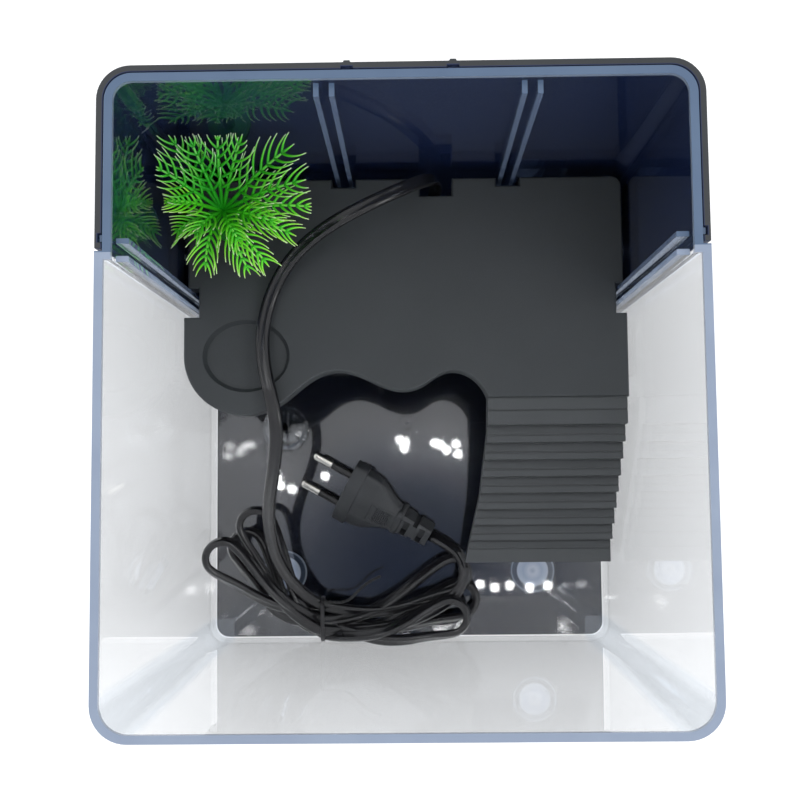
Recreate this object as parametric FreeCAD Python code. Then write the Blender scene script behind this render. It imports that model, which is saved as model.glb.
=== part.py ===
"""Small turtle and fish tank kit with its submersible heater, in millimetres.

Frame: origin under the middle of the tank, +Z up, front of the tank towards -Y.
Black cradle (tray and back shell), clear tub, basking deck with its ramp, the heater
below the deck with its mains lead, coil and plug, and a plastic plant.
"""
import FreeCAD, Part
import math
import os

V = FreeCAD.Vector
os.makedirs("parts", exist_ok=True)

# ---- driving dimensions ------------------------------------------------------------
HALF_W = 95.0            # half the width at the rim
FRONT_Y = -104.4         # front of the tub at the rim
SHELL_REAR_Y = 103.8     # back of the black shell at the rim
TAB_PROUD = 0.6          # how far the two tabs stand off the shell's back
RIM_Z = 183.0            # height of the rim
FLOOR_Z = 6.0            # top of the tub's floor
FLOOR_T = 2.5            # thickness of the tub's floor
WALL_T = 2.7             # thickness of the tub's walls
SHELL_T = 2.2            # thickness of the black shell
SLIP = 0.3               # gap between the tub and the shell
DRAFT = 0.011            # how far a wall leans in per millimetre of depth
STEP_Y = 45.0            # where the tub steps in to make room for the shell
REAR_CORNER = 8.6        # radius of the tub's rear corners
TRAY_Z = 1.5             # underside of the black tray
TRAY_T = 1.8             # thickness of the black tray
DECK_Z = 87.0            # top of the basking deck
DECK_T = 2.5             # thickness of the deck's plate
SKIRT_H = 10.0           # height of the deck's turned-down edge
SKIRT_T = 1.8            # thickness of that edge
RAMP_TOP_Y = 5.5         # where the ramp joins the deck
RAMP_STEPS = 8           # treads below the level part
TREAD = 6.8              # depth of a tread
RISER = 5.5              # drop of a step
HEATER_X = (-84.0, 20.0)  # ends of the heater's guard and head
HEATER_Y = 38.0
HEATER_Z = 30.0
GLASS_R = 10.0
GUARD_R = 12.5
HEAD_R = 13.1
SPINDLE_R = 2.0
CORD_D = 5.4             # width of the flat twin lead
CUP_X = -57.6            # line of the heater's two suction cups
PLANT_X, PLANT_Y = -70.0, 78.0


def box(x, y, z):
    """A box between two corners, given as (low, high) along each axis."""
    return Part.makeBox(x[1] - x[0], y[1] - y[0], z[1] - z[0], V(x[0], y[0], z[0]))


def cyl(r, base, length, axis=V(0, 0, 1)):
    return Part.makeCylinder(r, length, base, axis)


def polygon(points):
    return Part.makePolygon(points + [points[0]])


def prism(points, direction):
    """A flat outline of straight lines, carried along a direction."""
    return Part.Face(polygon(points)).extrude(direction)


def turned(profile, centre, axis):
    """A closed outline spun once about an axis."""
    return Part.Face(polygon(profile)).revolve(centre, axis, 360)


def save(name, *shapes):
    shape = shapes[0] if len(shapes) == 1 else Part.makeCompound(list(shapes))
    shape.exportStep("parts/%s.step" % name)
    solids = shape.Solids
    valid = all(s.isValid() for s in solids)
    print("%-18s solids %2d volume %9.1f valid %s" % (name, len(solids), shape.Volume, valid))
    return shape


# ---- tub, shell and tray outlines --------------------------------------------------
def rounded_wire(corners):
    """A closed outline through (x, y, z, radius) corners, each rounded by its radius."""
    edges, count = [], len(corners)
    starts, ends = [], []
    for i in range(count):
        here = V(*corners[i][:3])
        to_last = (V(*corners[i - 1][:3]) - here).normalize()
        to_next = (V(*corners[(i + 1) % count][:3]) - here).normalize()
        half = to_last.getAngle(to_next) / 2
        reach = corners[i][3] / math.tan(half)
        starts.append(here + to_last * reach)
        ends.append(here + to_next * reach)
    for i in range(count):
        radius = corners[i][3]
        if radius > 0:
            here = V(*corners[i][:3])
            inward = ((starts[i] + ends[i]) * 0.5 - here).normalize()
            half = (starts[i] - here).getAngle(ends[i] - here) / 2
            middle = here + inward * (radius / math.sin(half) - radius)
            edges.append(Part.Arc(starts[i], middle, ends[i]).toShape())
        edges.append(Part.LineSegment(ends[i], starts[(i + 1) % count]).toShape())
    return Part.Wire(edges)


def tub_wire(z, inset, corner):
    """The tub's stepped outline at height z, moved in by inset from its outer face."""
    lean = DRAFT * (RIM_Z - z) + inset
    front_x = HALF_W - lean
    rear_x = HALF_W - SHELL_T - SLIP - lean
    front = FRONT_Y + lean
    rear = SHELL_REAR_Y - SHELL_T - SLIP - lean
    step = STEP_Y - inset
    rear_corner = REAR_CORNER - inset
    return rounded_wire([
        (-front_x, front, z, corner), (front_x, front, z, corner),
        (front_x, step, z, 0), (rear_x, step, z, 0),
        (rear_x, rear, z, rear_corner), (-rear_x, rear, z, rear_corner),
        (-rear_x, step, z, 0), (-front_x, step, z, 0)])


def tub_solid(low, high, inset, corner_low, corner_high):
    return Part.makeLoft([tub_wire(low, inset, corner_low), tub_wire(high, inset, corner_high)],
                         True, True)


def wall_x(z, front=True):
    """Inner face of the tub's side wall at height z."""
    lean = DRAFT * (RIM_Z - z) + WALL_T
    return HALF_W - lean - (0 if front else SHELL_T + SLIP)


def make_tub():
    base_z = FLOOR_Z - FLOOR_T
    tub = tub_solid(base_z, RIM_Z, 0.0, 9.0, 11.5)
    tub = tub.cut(tub_solid(FLOOR_Z, RIM_Z + 1.0, WALL_T, 6.0, 9.0))
    rib_top = RIM_Z - 4.0
    for side in (-1, 1):
        for low, high in ((STEP_Y - WALL_T, STEP_Y - WALL_T + 1.9), (48.1, 49.8)):
            x = sorted((side * 85.3, side * (wall_x(FLOOR_Z, False) + 1.5)))
            tub = tub.fuse(box(x, (low, high), (FLOOR_Z - 0.5, rib_top)))
        outer = HALF_W - SHELL_T - SLIP
        key = tub_key(side, outer)
        tub = tub.fuse(key)
    rear = SHELL_REAR_Y - SHELL_T - SLIP - WALL_T
    for centre in (-24.1, 41.7):
        for x in (centre - 2.5, centre + 2.5):
            rib = box((x - 0.9, x + 0.9), (94.3, rear + 0.2), (FLOOR_Z - 0.5, rib_top))
            tub = tub.fuse(rib)
    gate = cyl(5.6, V(0.4, -1.5, FLOOR_Z - 0.3), 0.5).cut(cyl(4.9, V(0.4, -1.5, FLOOR_Z), 1.0))
    nub = Part.makeCone(1.9, 1.2, 1.1, V(0.4, -1.5, FLOOR_Z - 0.1))
    return tub.fuse([gate, nub]).removeSplitter()


def tub_key(side, outer):
    """The leaning rib on the tub's rear side that runs in the shell's groove."""
    wires = []
    for z in (FLOOR_Z, RIM_Z - 1.0):
        face = side * (outer - DRAFT * (RIM_Z - z))
        wires.append(polygon([V(face - side, 48.0, z), V(face + side * 1.1, 48.0, z),
                              V(face + side * 1.1, 50.2, z), V(face - side, 50.2, z)]))
    return Part.makeLoft(wires, True, True)


def shell_wire(z):
    """U-shaped outline of the black shell at height z."""
    lean = DRAFT * (RIM_Z - z)
    outer_x, outer_y = HALF_W - lean, SHELL_REAR_Y - lean
    inner_x, inner_y = outer_x - SHELL_T, outer_y - SHELL_T
    front = STEP_Y + 0.8
    return rounded_wire([
        (-outer_x, front, z, 0), (-inner_x, front, z, 0),
        (-inner_x, inner_y, z, REAR_CORNER), (inner_x, inner_y, z, REAR_CORNER),
        (inner_x, front, z, 0), (outer_x, front, z, 0),
        (outer_x, outer_y, z, REAR_CORNER + SHELL_T), (-outer_x, outer_y, z, REAR_CORNER + SHELL_T)])


def make_shell():
    shell = Part.makeLoft([shell_wire(TRAY_Z), shell_wire(RIM_Z)], True, True)
    for side in (-1, 1):
        wires = []
        for z in (TRAY_Z - 1.0, RIM_Z + 1.0):
            face = side * (HALF_W - SHELL_T - DRAFT * (RIM_Z - z))
            wires.append(polygon([V(face - side, 47.7, z), V(face + side * 1.2, 47.7, z),
                                  V(face + side * 1.2, 50.5, z), V(face - side, 50.5, z)]))
        shell = shell.cut(Part.makeLoft(wires, True, True))
    for x in (-16.6, 16.6):
        shell = shell.fuse(box((x - 1.05, x + 1.05), (SHELL_REAR_Y - 1.5, SHELL_REAR_Y + TAB_PROUD),
                               (RIM_Z - 16.0, RIM_Z)))
        shell = shell.cut(box((x - 1.9, x + 1.9), (SHELL_REAR_Y - SHELL_T - 0.5, SHELL_REAR_Y - 1.4),
                              (RIM_Z - 5.0, RIM_Z + 1.0)))
    return shell.removeSplitter()


FOOT_PLACES = [(x, y) for x in (-58.2, 58.2) for y in (-70.0, 68.0)]


def make_tray(shell):
    low, high = TRAY_Z, TRAY_Z + TRAY_T
    side, front = 90.4, -99.6
    rear = SHELL_REAR_Y - DRAFT * RIM_Z
    outline = [(-side, front, low, 6.0), (side, front, low, 6.0), (side, rear, low, 8.0),
               (-side, rear, low, 8.0)]
    tray = Part.Face(rounded_wire(outline)).extrude(V(0, 0, high - low))
    for x, y in FOOT_PLACES:
        tray = tray.cut(cyl(7.0, V(x, y, low - 1), 10))
        tray = tray.cut(cyl(10.6, V(x, y, high - 0.8), 10))
    return tray.cut(shell)


def make_feet():
    top = TRAY_Z + TRAY_T
    feet = []
    for x, y in FOOT_PLACES:
        stem = cyl(6.9, V(x, y, 0.6), top - 0.6)
        pad = Part.makeCone(8.6, 7.4, TRAY_Z, V(x, y, 0))
        flange = cyl(10.4, V(x, y, top - 0.8), 0.8)
        feet.append(stem.fuse([pad, flange]).removeSplitter())
    return feet


# ---- basking deck and ramp ---------------------------------------------------------
LOBE = V(-64.4, 23.5, 0)      # middle of the round corner that carries the dish
LOBE_R = 24.0
DISH = V(-63.4, 23.2, 0)      # middle of the oval dish
DISH_LONG, DISH_SHORT = 17.4, 14.5
NOTCH_Y = (38.9, 50.6)        # notches that pass the tub's side ribs
# Notches along the rear edge, as (from x, to x, depth in y): two pairs of tub ribs and,
# between them, the way through for the heater's lead.
REAR_NOTCHES = ((-28.9, -19.3, 91.0), (6.5, 19.5, 87.2), (37.2, 46.6, 91.0))
# The deck's front edge from the ramp to the round lobe, as (x, y).
WAVE = ((32.6, 5.5), (28.9, 11.8), (24.0, 15.3), (18.9, 16.4), (13.8, 15.1), (7.3, 10.9),
        (-1.2, 8.7), (-11.1, 11.4), (-19.3, 15.2), (-27.0, 16.8), (-35.1, 14.8), (-42.2, 10.0),
        (-49.0, 4.6))


def deck_wire(z, inset=0.0):
    """Outline of the deck, moved in by inset: straight rear and sides, lobe, wavy front."""
    rear_l, rear_r, rear = -86.8 + inset, 87.4 - inset, 94.3 - inset
    front_l, front_r, front = -88.4 + inset, 88.6 - inset, RAMP_TOP_Y + inset
    notch_l, notch_r = -82.4 + inset, 84.4 - inset
    notch_y0, notch_y1 = NOTCH_Y[0] - inset, NOTCH_Y[1] + inset
    round_r = 4.0 - inset
    left = [V(front_l, notch_y0, z), V(notch_l, notch_y0, z), V(notch_l, notch_y1, z),
            V(rear_l, notch_y1, z), V(rear_l, rear - round_r, z)]
    back = [V(rear_l + round_r, rear, z)]
    for low, high, deep in REAR_NOTCHES:
        low, high, deep = low - inset, high + inset, deep - inset
        back += [V(low, rear, z), V(low, deep, z), V(high, deep, z), V(high, rear, z)]
    back.append(V(rear_r - round_r, rear, z))
    right = [V(rear_r, rear - round_r, z), V(rear_r, notch_y1, z), V(notch_r, notch_y1, z),
             V(notch_r, notch_y0, z), V(front_r, notch_y0, z), V(front_r, front, z),
             V(32.6 + inset * 0.56, front, z)]
    lobe = [V(LOBE.x + (LOBE_R - inset) * math.cos(math.radians(a)),
              LOBE.y + (LOBE_R - inset) * math.sin(math.radians(a)), z) for a in (-62, -120, -180)]
    outer = [V(x, y, z) for x, y in WAVE]
    curve = Part.BSplineCurve()
    curve.interpolate(outer + [V(LOBE.x + LOBE_R * math.cos(math.radians(-62)),
                                 LOBE.y + LOBE_R * math.sin(math.radians(-62)), z)])
    moved = [right[-1]]
    for point in outer[1:]:
        along = curve.tangent(curve.parameter(point))[0]
        moved.append(point + V(along.y, -along.x, 0) * inset)
    wave = Part.BSplineCurve()
    wave.interpolate(moved + [lobe[0]])
    edges = [wave.toShape(), Part.Arc(*lobe).toShape()]

    def lines(points):
        return [Part.LineSegment(a, b).toShape() for a, b in zip(points, points[1:])]

    bend = round_r * (1 - math.sqrt(0.5))
    edges += lines([lobe[2]] + left)
    edges.append(Part.Arc(left[-1], V(rear_l + bend, rear - bend, z), back[0]).toShape())
    edges += lines(back)
    edges.append(Part.Arc(back[-1], V(rear_r - bend, rear - bend, z), right[0]).toShape())
    edges += lines(right)
    return Part.Wire(Part.__sortEdges__(edges))


def ellipse_wire(centre, long_r, short_r, z):
    curve = Part.Ellipse(V(centre.x, centre.y, z), long_r, short_r)
    return Part.Wire([curve.toShape()])


def make_deck():
    outline = deck_wire(DECK_Z - SKIRT_H)
    block = Part.Face(outline).extrude(V(0, 0, SKIRT_H))
    top_edges = [e for e in block.Edges
                 if all(abs(v.Z - DECK_Z) < 1e-6 for v in e.Vertexes) and
                 abs(e.valueAt(e.FirstParameter).z - DECK_Z) < 1e-6]
    try:
        block = block.makeFillet(0.9, top_edges)
    except Exception as problem:
        print("deck edge left square:", problem)
    inner = deck_wire(DECK_Z - SKIRT_H, SKIRT_T)
    hollow = Part.Face(inner).extrude(V(0, 0, SKIRT_H - DECK_T))
    deck = block.cut(hollow)
    floor_top = DECK_Z - 2.4
    pad = Part.Face(ellipse_wire(DISH, DISH_LONG + 1.6, DISH_SHORT + 1.6, floor_top - 2.0))
    deck = deck.fuse(pad.extrude(V(0, 0, DECK_Z - 0.5 - floor_top + 1.5)))
    bowl = Part.makeLoft([ellipse_wire(DISH, DISH_LONG - 1.4, DISH_SHORT - 1.4, floor_top),
                          ellipse_wire(DISH, DISH_LONG, DISH_SHORT, DECK_Z + 0.01)], True, True)
    deck = deck.cut(bowl)
    socket = cyl(4.0, V(PLANT_X, PLANT_Y, DECK_Z - 9), 12)
    boss = cyl(6.0, V(PLANT_X, PLANT_Y, DECK_Z - 8), 8 - DECK_T + 0.5)
    return deck.fuse(boss).cut(socket).removeSplitter()


def ramp_profile(x):
    """Side view of the ramp's top: level strips, then treads with a raised bead."""
    y, z = RAMP_TOP_Y, DECK_Z
    points = []

    def groove(at, level):
        return [V(x, at, level), V(x, at, level - 0.6), V(x, at - 0.6, level - 0.6),
                V(x, at - 0.6, level)]

    points += groove(y, z) + groove(0.6, z)
    y = -5.2
    points += [V(x, y, z)]
    for step in range(RAMP_STEPS):
        low = z - RISER
        points += [V(x, y - 0.3, low - 0.4), V(x, y - 1.0, low - 0.4), V(x, y - 1.0, low),
                   V(x, y - 3.6, low), V(x, y - 3.7, low - 0.4), V(x, y - 4.3, low - 0.4),
                   V(x, y - 4.4, low), V(x, y - TREAD, low)]
        y -= TREAD
        z = low
    return points, y, z


RAMP_FOOT_Y = -5.2 - RAMP_STEPS * TREAD - 3.2
RAMP_FOOT_Z = DECK_Z - RAMP_STEPS * RISER


def ramp_plan(inset, low, high):
    """Plan of the ramp: straight right side, left side that spreads towards the foot."""
    right, top = 87.7 - inset, RAMP_TOP_Y
    foot = RAMP_FOOT_Y + inset
    points = [V(32.6 + inset, top, low), V(32.6 + inset, -8.0, low), V(30.4 + inset, -34.0, low),
              V(24.9 + inset, foot, low), V(right, foot, low), V(right, top, low)]
    return prism(points, V(0, 0, high - low))


def make_ramp():
    left, right = 20.0, 92.0
    points, y, z = ramp_profile(left)
    points += [V(left, RAMP_FOOT_Y, z), V(left, RAMP_FOOT_Y, z - 12.0),
               V(left, -8.0, DECK_Z - SKIRT_H - 5), V(left, RAMP_TOP_Y, DECK_Z - SKIRT_H)]
    body = prism(points, V(right - left, 0, 0)).common(ramp_plan(0.0, 10.0, 100.0))
    # the hollow's roof keeps about 2 mm below the bottom of every groove
    top, foot = RAMP_TOP_Y - 1.8, RAMP_FOOT_Y + 2.0
    slope = [V(left, top, DECK_Z - 3.4), V(left, -1.0, DECK_Z - 3.4),
             V(left, -6.2, DECK_Z - RISER - 2.5),
             V(left, foot + 7.0, RAMP_FOOT_Z - 2.5), V(left, foot, RAMP_FOOT_Z - 2.5),
             V(left, foot, 10.0), V(left, top, 10.0)]
    hollow = prism(slope, V(right - left, 0, 0)).common(ramp_plan(SKIRT_T, 10.0, 100.0))
    return body.cut(hollow).removeSplitter()


SADDLES_X = (-72.0, -14.0)
POSTS = ((-78.6, 86.4), (78.0, 84.0), (78.0, 14.0))
STAND_Z = FLOOR_Z + 0.3       # underside of everything that stands on the tub's floor


def make_saddles(deck):
    """Upright plates under the deck, notched to straddle the heater."""
    plates = []
    axis = V(1, 0, 0)
    for x in SADDLES_X:
        plate = box((x - 1.2, x + 1.2), (HEATER_Y - 18, HEATER_Y + 18), (STAND_Z, DECK_Z - DECK_T))
        plate = plate.cut(cyl(GUARD_R, V(x - 2, HEATER_Y, HEATER_Z), 4, axis))
        plate = plate.cut(box((x - 2, x + 2), (HEATER_Y - 11.4, HEATER_Y + 11.4),
                              (STAND_Z - 1, HEATER_Z - 5.2)))
        plates.append(plate.cut(deck))
    return plates


def make_posts():
    posts = []
    for x, y in POSTS:
        tube = cyl(5.0, V(x, y, STAND_Z), DECK_Z - DECK_T - STAND_Z)
        tube = tube.cut(cyl(3.6, V(x, y, STAND_Z - 1), DECK_Z - DECK_T - STAND_Z - 2))
        posts.append(tube)
    return posts


# ---- heater ------------------------------------------------------------------------
HX = V(1, 0, 0)
HEAD_X = 4.0                   # where the glass enters the head


def on_axis(x, y=0.0, z=0.0):
    return V(x, HEATER_Y + y, HEATER_Z + z)


def spun(profile):
    """(distance along the heater, radius) pairs, closed and spun about its axis."""
    points = [on_axis(x, 0, r) for x, r in profile]
    return turned(points, on_axis(0), HX)


def make_glass():
    x_tip, wall = -79.0, 1.1
    outer_c = on_axis(x_tip + GLASS_R)
    length = HEAD_X + 1.2 - outer_c.x
    outer = cyl(GLASS_R, outer_c, length, HX).fuse(Part.makeSphere(GLASS_R, outer_c))
    inner_r = GLASS_R - wall
    inner = cyl(inner_r, outer_c, length + 1, HX).fuse(Part.makeSphere(inner_r, outer_c))
    return outer.cut(inner).removeSplitter()


def make_guard():
    low, high = HEATER_X[0], HEAD_X + 2.0
    guard = spun([(low, 3.0), (low, 10.5), (low + 2.0, GUARD_R), (high, GUARD_R), (high, 11.3),
                  (low + 2.6, 11.3), (low + 1.2, 9.8), (low + 1.2, 3.0)])
    slot_w, rows = 3.4, ((-77.0, -74.6), (-68.5, -61.5), (-52.5, -36.0), (-32.0, -16.6), (-10.5, 0.5))
    for x0, x1 in rows:
        for k in range(8):
            slot = box((x0, x1), (HEATER_Y - slot_w / 2, HEATER_Y + slot_w / 2),
                       (HEATER_Z + 9, HEATER_Z + 14))
            slot.rotate(on_axis(0), HX, 22.5 + 45 * k)
            guard = guard.cut(slot)
    return guard


def make_bumper():
    """Soft ring that holds the round end of the glass inside the guard."""
    ring = spun([(-82.6, 5.0), (-82.6, 9.6), (-76.5, 11.3), (-73.5, 11.3), (-73.5, 5.0)])
    return ring.cut(make_glass_envelope())


def make_glass_envelope():
    centre = on_axis(-79.0 + GLASS_R)
    return cyl(GLASS_R, centre, 60, HX).fuse(Part.makeSphere(GLASS_R, centre))


FORMER_X = (-66.0, -22.0)


def make_former():
    """Ceramic rod with end collars and a bore for the return lead."""
    a, b = FORMER_X
    return spun([(a, 1.6), (a, 6.6), (a + 2, 6.6), (a + 2, 5.0), (b - 2, 5.0), (b - 2, 6.6),
                 (b, 6.6), (b, 1.6)])


def make_element():
    """Bare resistance wire wound on the ceramic rod."""
    pitch, wire_r, coil_r = 2.6, 0.38, 5.4
    a, b = FORMER_X[0] + 3.2, FORMER_X[1] - 3.2
    helix = Part.makeHelix(pitch, b - a, coil_r)
    helix.rotate(V(0, 0, 0), V(0, 1, 0), 90)
    helix.translate(on_axis(a))
    start = helix.Edges[0].valueAt(helix.Edges[0].FirstParameter)
    tangent = helix.Edges[0].tangentAt(helix.Edges[0].FirstParameter)
    section = Part.Wire([Part.Circle(start, tangent, wire_r).toShape()])
    return Part.Wire(helix.Edges).makePipeShell([section], True, True)


def make_thermostat():
    board = box((-18.0, 9.0), (HEATER_Y - 6.0, HEATER_Y + 6.0), (HEATER_Z - 4.0, HEATER_Z - 2.6))
    strip = box((-16.0, 3.0), (HEATER_Y - 2.0, HEATER_Y + 2.0), (HEATER_Z + 0.8, HEATER_Z + 1.3))
    post = box((-16.0, -12.6), (HEATER_Y - 2.0, HEATER_Y + 2.0), (HEATER_Z - 2.6, HEATER_Z + 0.8))
    contact = cyl(1.1, on_axis(1.6, 0, -2.6), 3.4)
    lamp = cyl(1.9, on_axis(-9.0, 4.0, 3.4), 6.5, HX).fuse(
        [Part.makeSphere(1.9, on_axis(-9.0, 4.0, 3.4)), Part.makeSphere(1.9, on_axis(-2.5, 4.0, 3.4))])
    lamp = lamp.removeSplitter()
    legs = [cyl(0.4, on_axis(x, 4.0, -2.6), 4.4) for x in (-8.0, -3.5)]
    return board, strip, [post, contact], lamp, [leg.cut(lamp) for leg in legs]


def make_leads():
    """Two bare wires from the board to the ends of the winding."""
    near = cyl(0.5, on_axis(-21.9, -5.2, -2.1), 6.0, HX)
    far = cyl(0.5, on_axis(-70.0), 47.0, HX)
    return [near, far]


def make_head():
    """Black head that closes the glass: collar, cap, cavity, spindle hole, lead hole."""
    a, b = HEAD_X + 2.0, HEATER_X[1]
    collar = cyl(11.3, on_axis(HEAD_X - 4.0), 6.5, HX)
    cap = spun([(a, 0.0), (a, HEAD_R), (b - 1.5, HEAD_R), (b, HEAD_R - 1.5), (b, 0.0)])
    head = cap.fuse(collar).cut(cyl(GLASS_R, on_axis(HEAD_X - 5.0), a - HEAD_X + 5.0, HX))
    head = head.cut(cyl(9.0, on_axis(a - 1.0), b - 4.0 - a + 1.0, HX))
    head = head.cut(cyl(SPINDLE_R + 0.05, on_axis(b - 5.0), 6.0, HX))
    return head.cut(cyl(3.0, GLAND_FOOT - GLAND_DIR * 6, 16, GLAND_DIR))


GLAND_X = 12.0                 # where the lead leaves the head
RELIEF_L = 22.0                # length of the ribbed strain relief
GLAND_RISE = math.radians(20)    # how far the lead points up as it leaves the head
GLAND_DIR = V(0, math.cos(GLAND_RISE), math.sin(GLAND_RISE))
GLAND_FOOT = on_axis(GLAND_X) + GLAND_DIR * (HEAD_R - 0.3)


def along_gland(d):
    return GLAND_FOOT + GLAND_DIR * d


def make_gland():
    """Hexagonal gland nut on the head, then a ribbed taper round the lead."""
    nut = Part.Face(hexagon(along_gland(0.5), GLAND_DIR, 5.2)).extrude(GLAND_DIR * 5.0)
    spigot = cyl(3.0, along_gland(-5.0), 5.6, GLAND_DIR)
    nut = nut.fuse(spigot).removeSplitter()
    taper = Part.makeCone(4.4, 3.3, RELIEF_L, along_gland(5.5), GLAND_DIR)
    for k in range(6):
        at = along_gland(8.5 + 2.9 * k)
        ring = cyl(8.0, at, 1.0, GLAND_DIR).cut(cyl(2.9, at, 1.0, GLAND_DIR))
        taper = taper.cut(ring)
    return nut, taper


def hexagon(centre, axis, radius):
    side = V(1, 0, 0)
    other = axis.cross(side)
    points = []
    for k in range(6):
        angle = math.radians(60 * k)
        points.append(centre + side * (radius * math.cos(angle)) + other * (radius * math.sin(angle)))
    return polygon(points)


def make_dial():
    """Fluted knob on a brass spindle that sets the temperature."""
    x0 = HEATER_X[1] + 0.4
    knob = spun([(x0, 0.0), (x0, 8.2), (x0 + 6.2, 8.2), (x0 + 7.6, 7.0), (x0 + 7.6, 0.0)])
    for k in range(16):
        angle = math.radians(22.5 * k)
        flute = cyl(1.0, on_axis(x0 - 1, 8.9 * math.sin(angle), 8.9 * math.cos(angle)), 10, HX)
        knob = knob.cut(flute)
    slot = box((x0 + 6.6, x0 + 9.0), (HEATER_Y - 5.5, HEATER_Y + 5.5), (HEATER_Z - 0.7, HEATER_Z + 0.7))
    knob = knob.cut(slot)
    spindle = cyl(SPINDLE_R, on_axis(HEATER_X[1] - 9.0), 9.4, HX)
    return knob, spindle


def make_scale():
    """Thin ring of teeth round the dial, one longer tooth at the middle setting."""
    x0 = HEATER_X[1]
    ring = spun([(x0, 9.4), (x0, 11.0), (x0 + 0.7, 11.0), (x0 + 0.7, 9.4)])
    marks = []
    for k in range(-4, 5):
        angle = math.radians(30 * k)
        tooth = box((x0, x0 + 1.1), (HEATER_Y - 0.35, HEATER_Y + 0.35),
                    (HEATER_Z + 9.6, HEATER_Z + (11.3 if k else 11.6)))
        tooth.rotate(on_axis(0), HX, math.degrees(angle))
        marks.append(tooth)
    return ring.fuse(marks).removeSplitter()


def make_seal():
    """Rubber washer between the end of the glass and the head."""
    a, b = HEAD_X + 1.2, HEAD_X + 2.0
    return spun([(a, GLASS_R - 1.1), (a, GLASS_R), (b, GLASS_R), (b, GLASS_R - 1.1)])


CUPS_Y = (-2.2, 77.0)
BAR_Z = (14.0, 16.0)


def make_cup(x, y):
    """Soft suction cup: thin lip, domed skirt, neck and button."""
    z = STAND_Z
    profile = [(0.0, 2.2), (4.0, 1.9), (9.2, 0.5), (11.0, 0.0), (11.0, 0.5), (9.4, 1.5),
               (8.2, 1.6), (8.2, 2.3), (5.6, 3.5), (5.6, 4.1), (3.0, 4.6), (2.4, 5.2), (2.4, 7.7),
               (0.0, 7.7)]
    points = [V(x + r, y, z + h) for r, h in profile]
    return turned(points, V(x, y, 0), V(0, 0, 1))


def make_bar():
    """Clear bar between the two cups, with a spring clip round the guard."""
    z0, z1 = BAR_Z
    bar = box((CUP_X - 4.0, CUP_X + 4.0), (9.0, CUPS_Y[1] + 4.0), (z0, z1))
    arm = box((CUP_X - 2.2, CUP_X + 2.2), (CUPS_Y[0], 9.0), (z0, z1))
    tip = cyl(2.2, V(CUP_X, CUPS_Y[0], z0), z1 - z0)
    ring = cyl(GUARD_R + 1.8, on_axis(CUP_X - 4.0), 8.0, HX)
    ring = ring.cut(cyl(GUARD_R, on_axis(CUP_X - 5.0), 10.0, HX))
    ring = ring.cut(box((CUP_X - 6, CUP_X + 6), (HEATER_Y - 9, HEATER_Y + 9),
                        (HEATER_Z + 2.0, HEATER_Z + 20.0)))
    bar = bar.fuse([arm, tip, ring])
    return bar.cut(cyl(GUARD_R, on_axis(CUP_X - 5.0), 10.0, HX)).removeSplitter()


# ---- mains lead --------------------------------------------------------------------
def rounded_path(points, name):
    """Straight runs joined by tangent arcs, each as large as its two runs allow."""
    edges, start, length, tightest = [], points[0], 0.0, 1e9
    for i in range(1, len(points) - 1):
        before, after = points[i] - points[i - 1], points[i + 1] - points[i]
        run = min(before.Length, after.Length)
        d1, d2 = V(before).normalize(), V(after).normalize()
        half = d1.getAngle(d2) / 2
        radius = 0.45 * run / math.tan(half)
        tightest = min(tightest, radius)
        a, b = points[i] - d1 * (0.45 * run), points[i] + d2 * (0.45 * run)
        inward = V(d2 - d1).normalize()
        middle = points[i] + inward * (radius / math.cos(half) - radius)
        edges.append(Part.LineSegment(start, a).toShape())
        edges.append(Part.Arc(a, middle, b).toShape())
        length += (a - start).Length + radius * 2 * half
        start = b
        print("   %s turn %4.0f deg, radius %5.1f, runs %5.1f %5.1f"
              % (name, math.degrees(2 * half), radius, before.Length, after.Length))
    edges.append(Part.LineSegment(start, points[-1]).toShape())
    length += (points[-1] - start).Length
    print("   %s length %.1f, tightest radius %.1f" % (name, length, tightest))
    return Part.Wire(edges), length


def cord_tube(points, name):
    path, length = rounded_path(points, name)
    direction = V(points[1] - points[0]).normalize()
    section = Part.Wire([Part.Circle(points[0], direction, CORD_D / 2).toShape()])
    tube = path.makePipeShell([section], True, False)
    ideal = math.pi * (CORD_D / 2) ** 2 * length
    print("   %s volume / (section x length) = %.4f" % (name, tube.Volume / ideal))
    return tube


LEAD_START = along_gland(5.5 + RELIEF_L)
# The lead from the strain relief, up through the rear notch, over the deck and down to
# the tie.  The looks script repeats these points.
LEAD = [LEAD_START,
        V(12.0, 84.7, 46.8),
        V(12.2, 91.2, 56.0),
        V(12.9, 92.9, 69.5),
        V(13.6, 93.4, 85.5),
        V(9.0, 90.6, 99.0),
        V(-3.5, 82.8, 108.5),
        V(-20.5, 74.6, 110.0),
        V(-34.5, 67.6, 103.5),
        V(-45.6, 59.5, 94.5),
        V(-53.0, 47.5, 90.3),
        V(-56.6, 32.5, 90.4),
        V(-55.6, 17.5, 91.4),
        V(-51.6, 3.5, 94.0),
        V(-50.6, -9.0, 90.0),
        V(-53.2, -21.5, 80.5),
        V(-57.0, -34.5, 67.5),
        V(-58.9, -47.0, 53.5),
        V(-57.6, -59.5, 42.5),
        V(-52.0, -71.5, 32.5),
        V(-41.5, -83.0, 22.0)]

# The tail from the tie round to the plug.
TAIL = [V(-39.0, -94.6, 23.8),
        V(-21.5, -94.3, 21.0),
        V(-4.0, -92.2, 20.5),
        V(9.4, -87.2, 21.0),
        V(18.6, -81.6, 22.5),
        V(24.6, -73.6, 24.0),
        V(25.6, -65.2, 24.5),
        V(21.0, -57.6, 22.3),
        V(9.9, -51.9, 20.5)]

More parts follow.
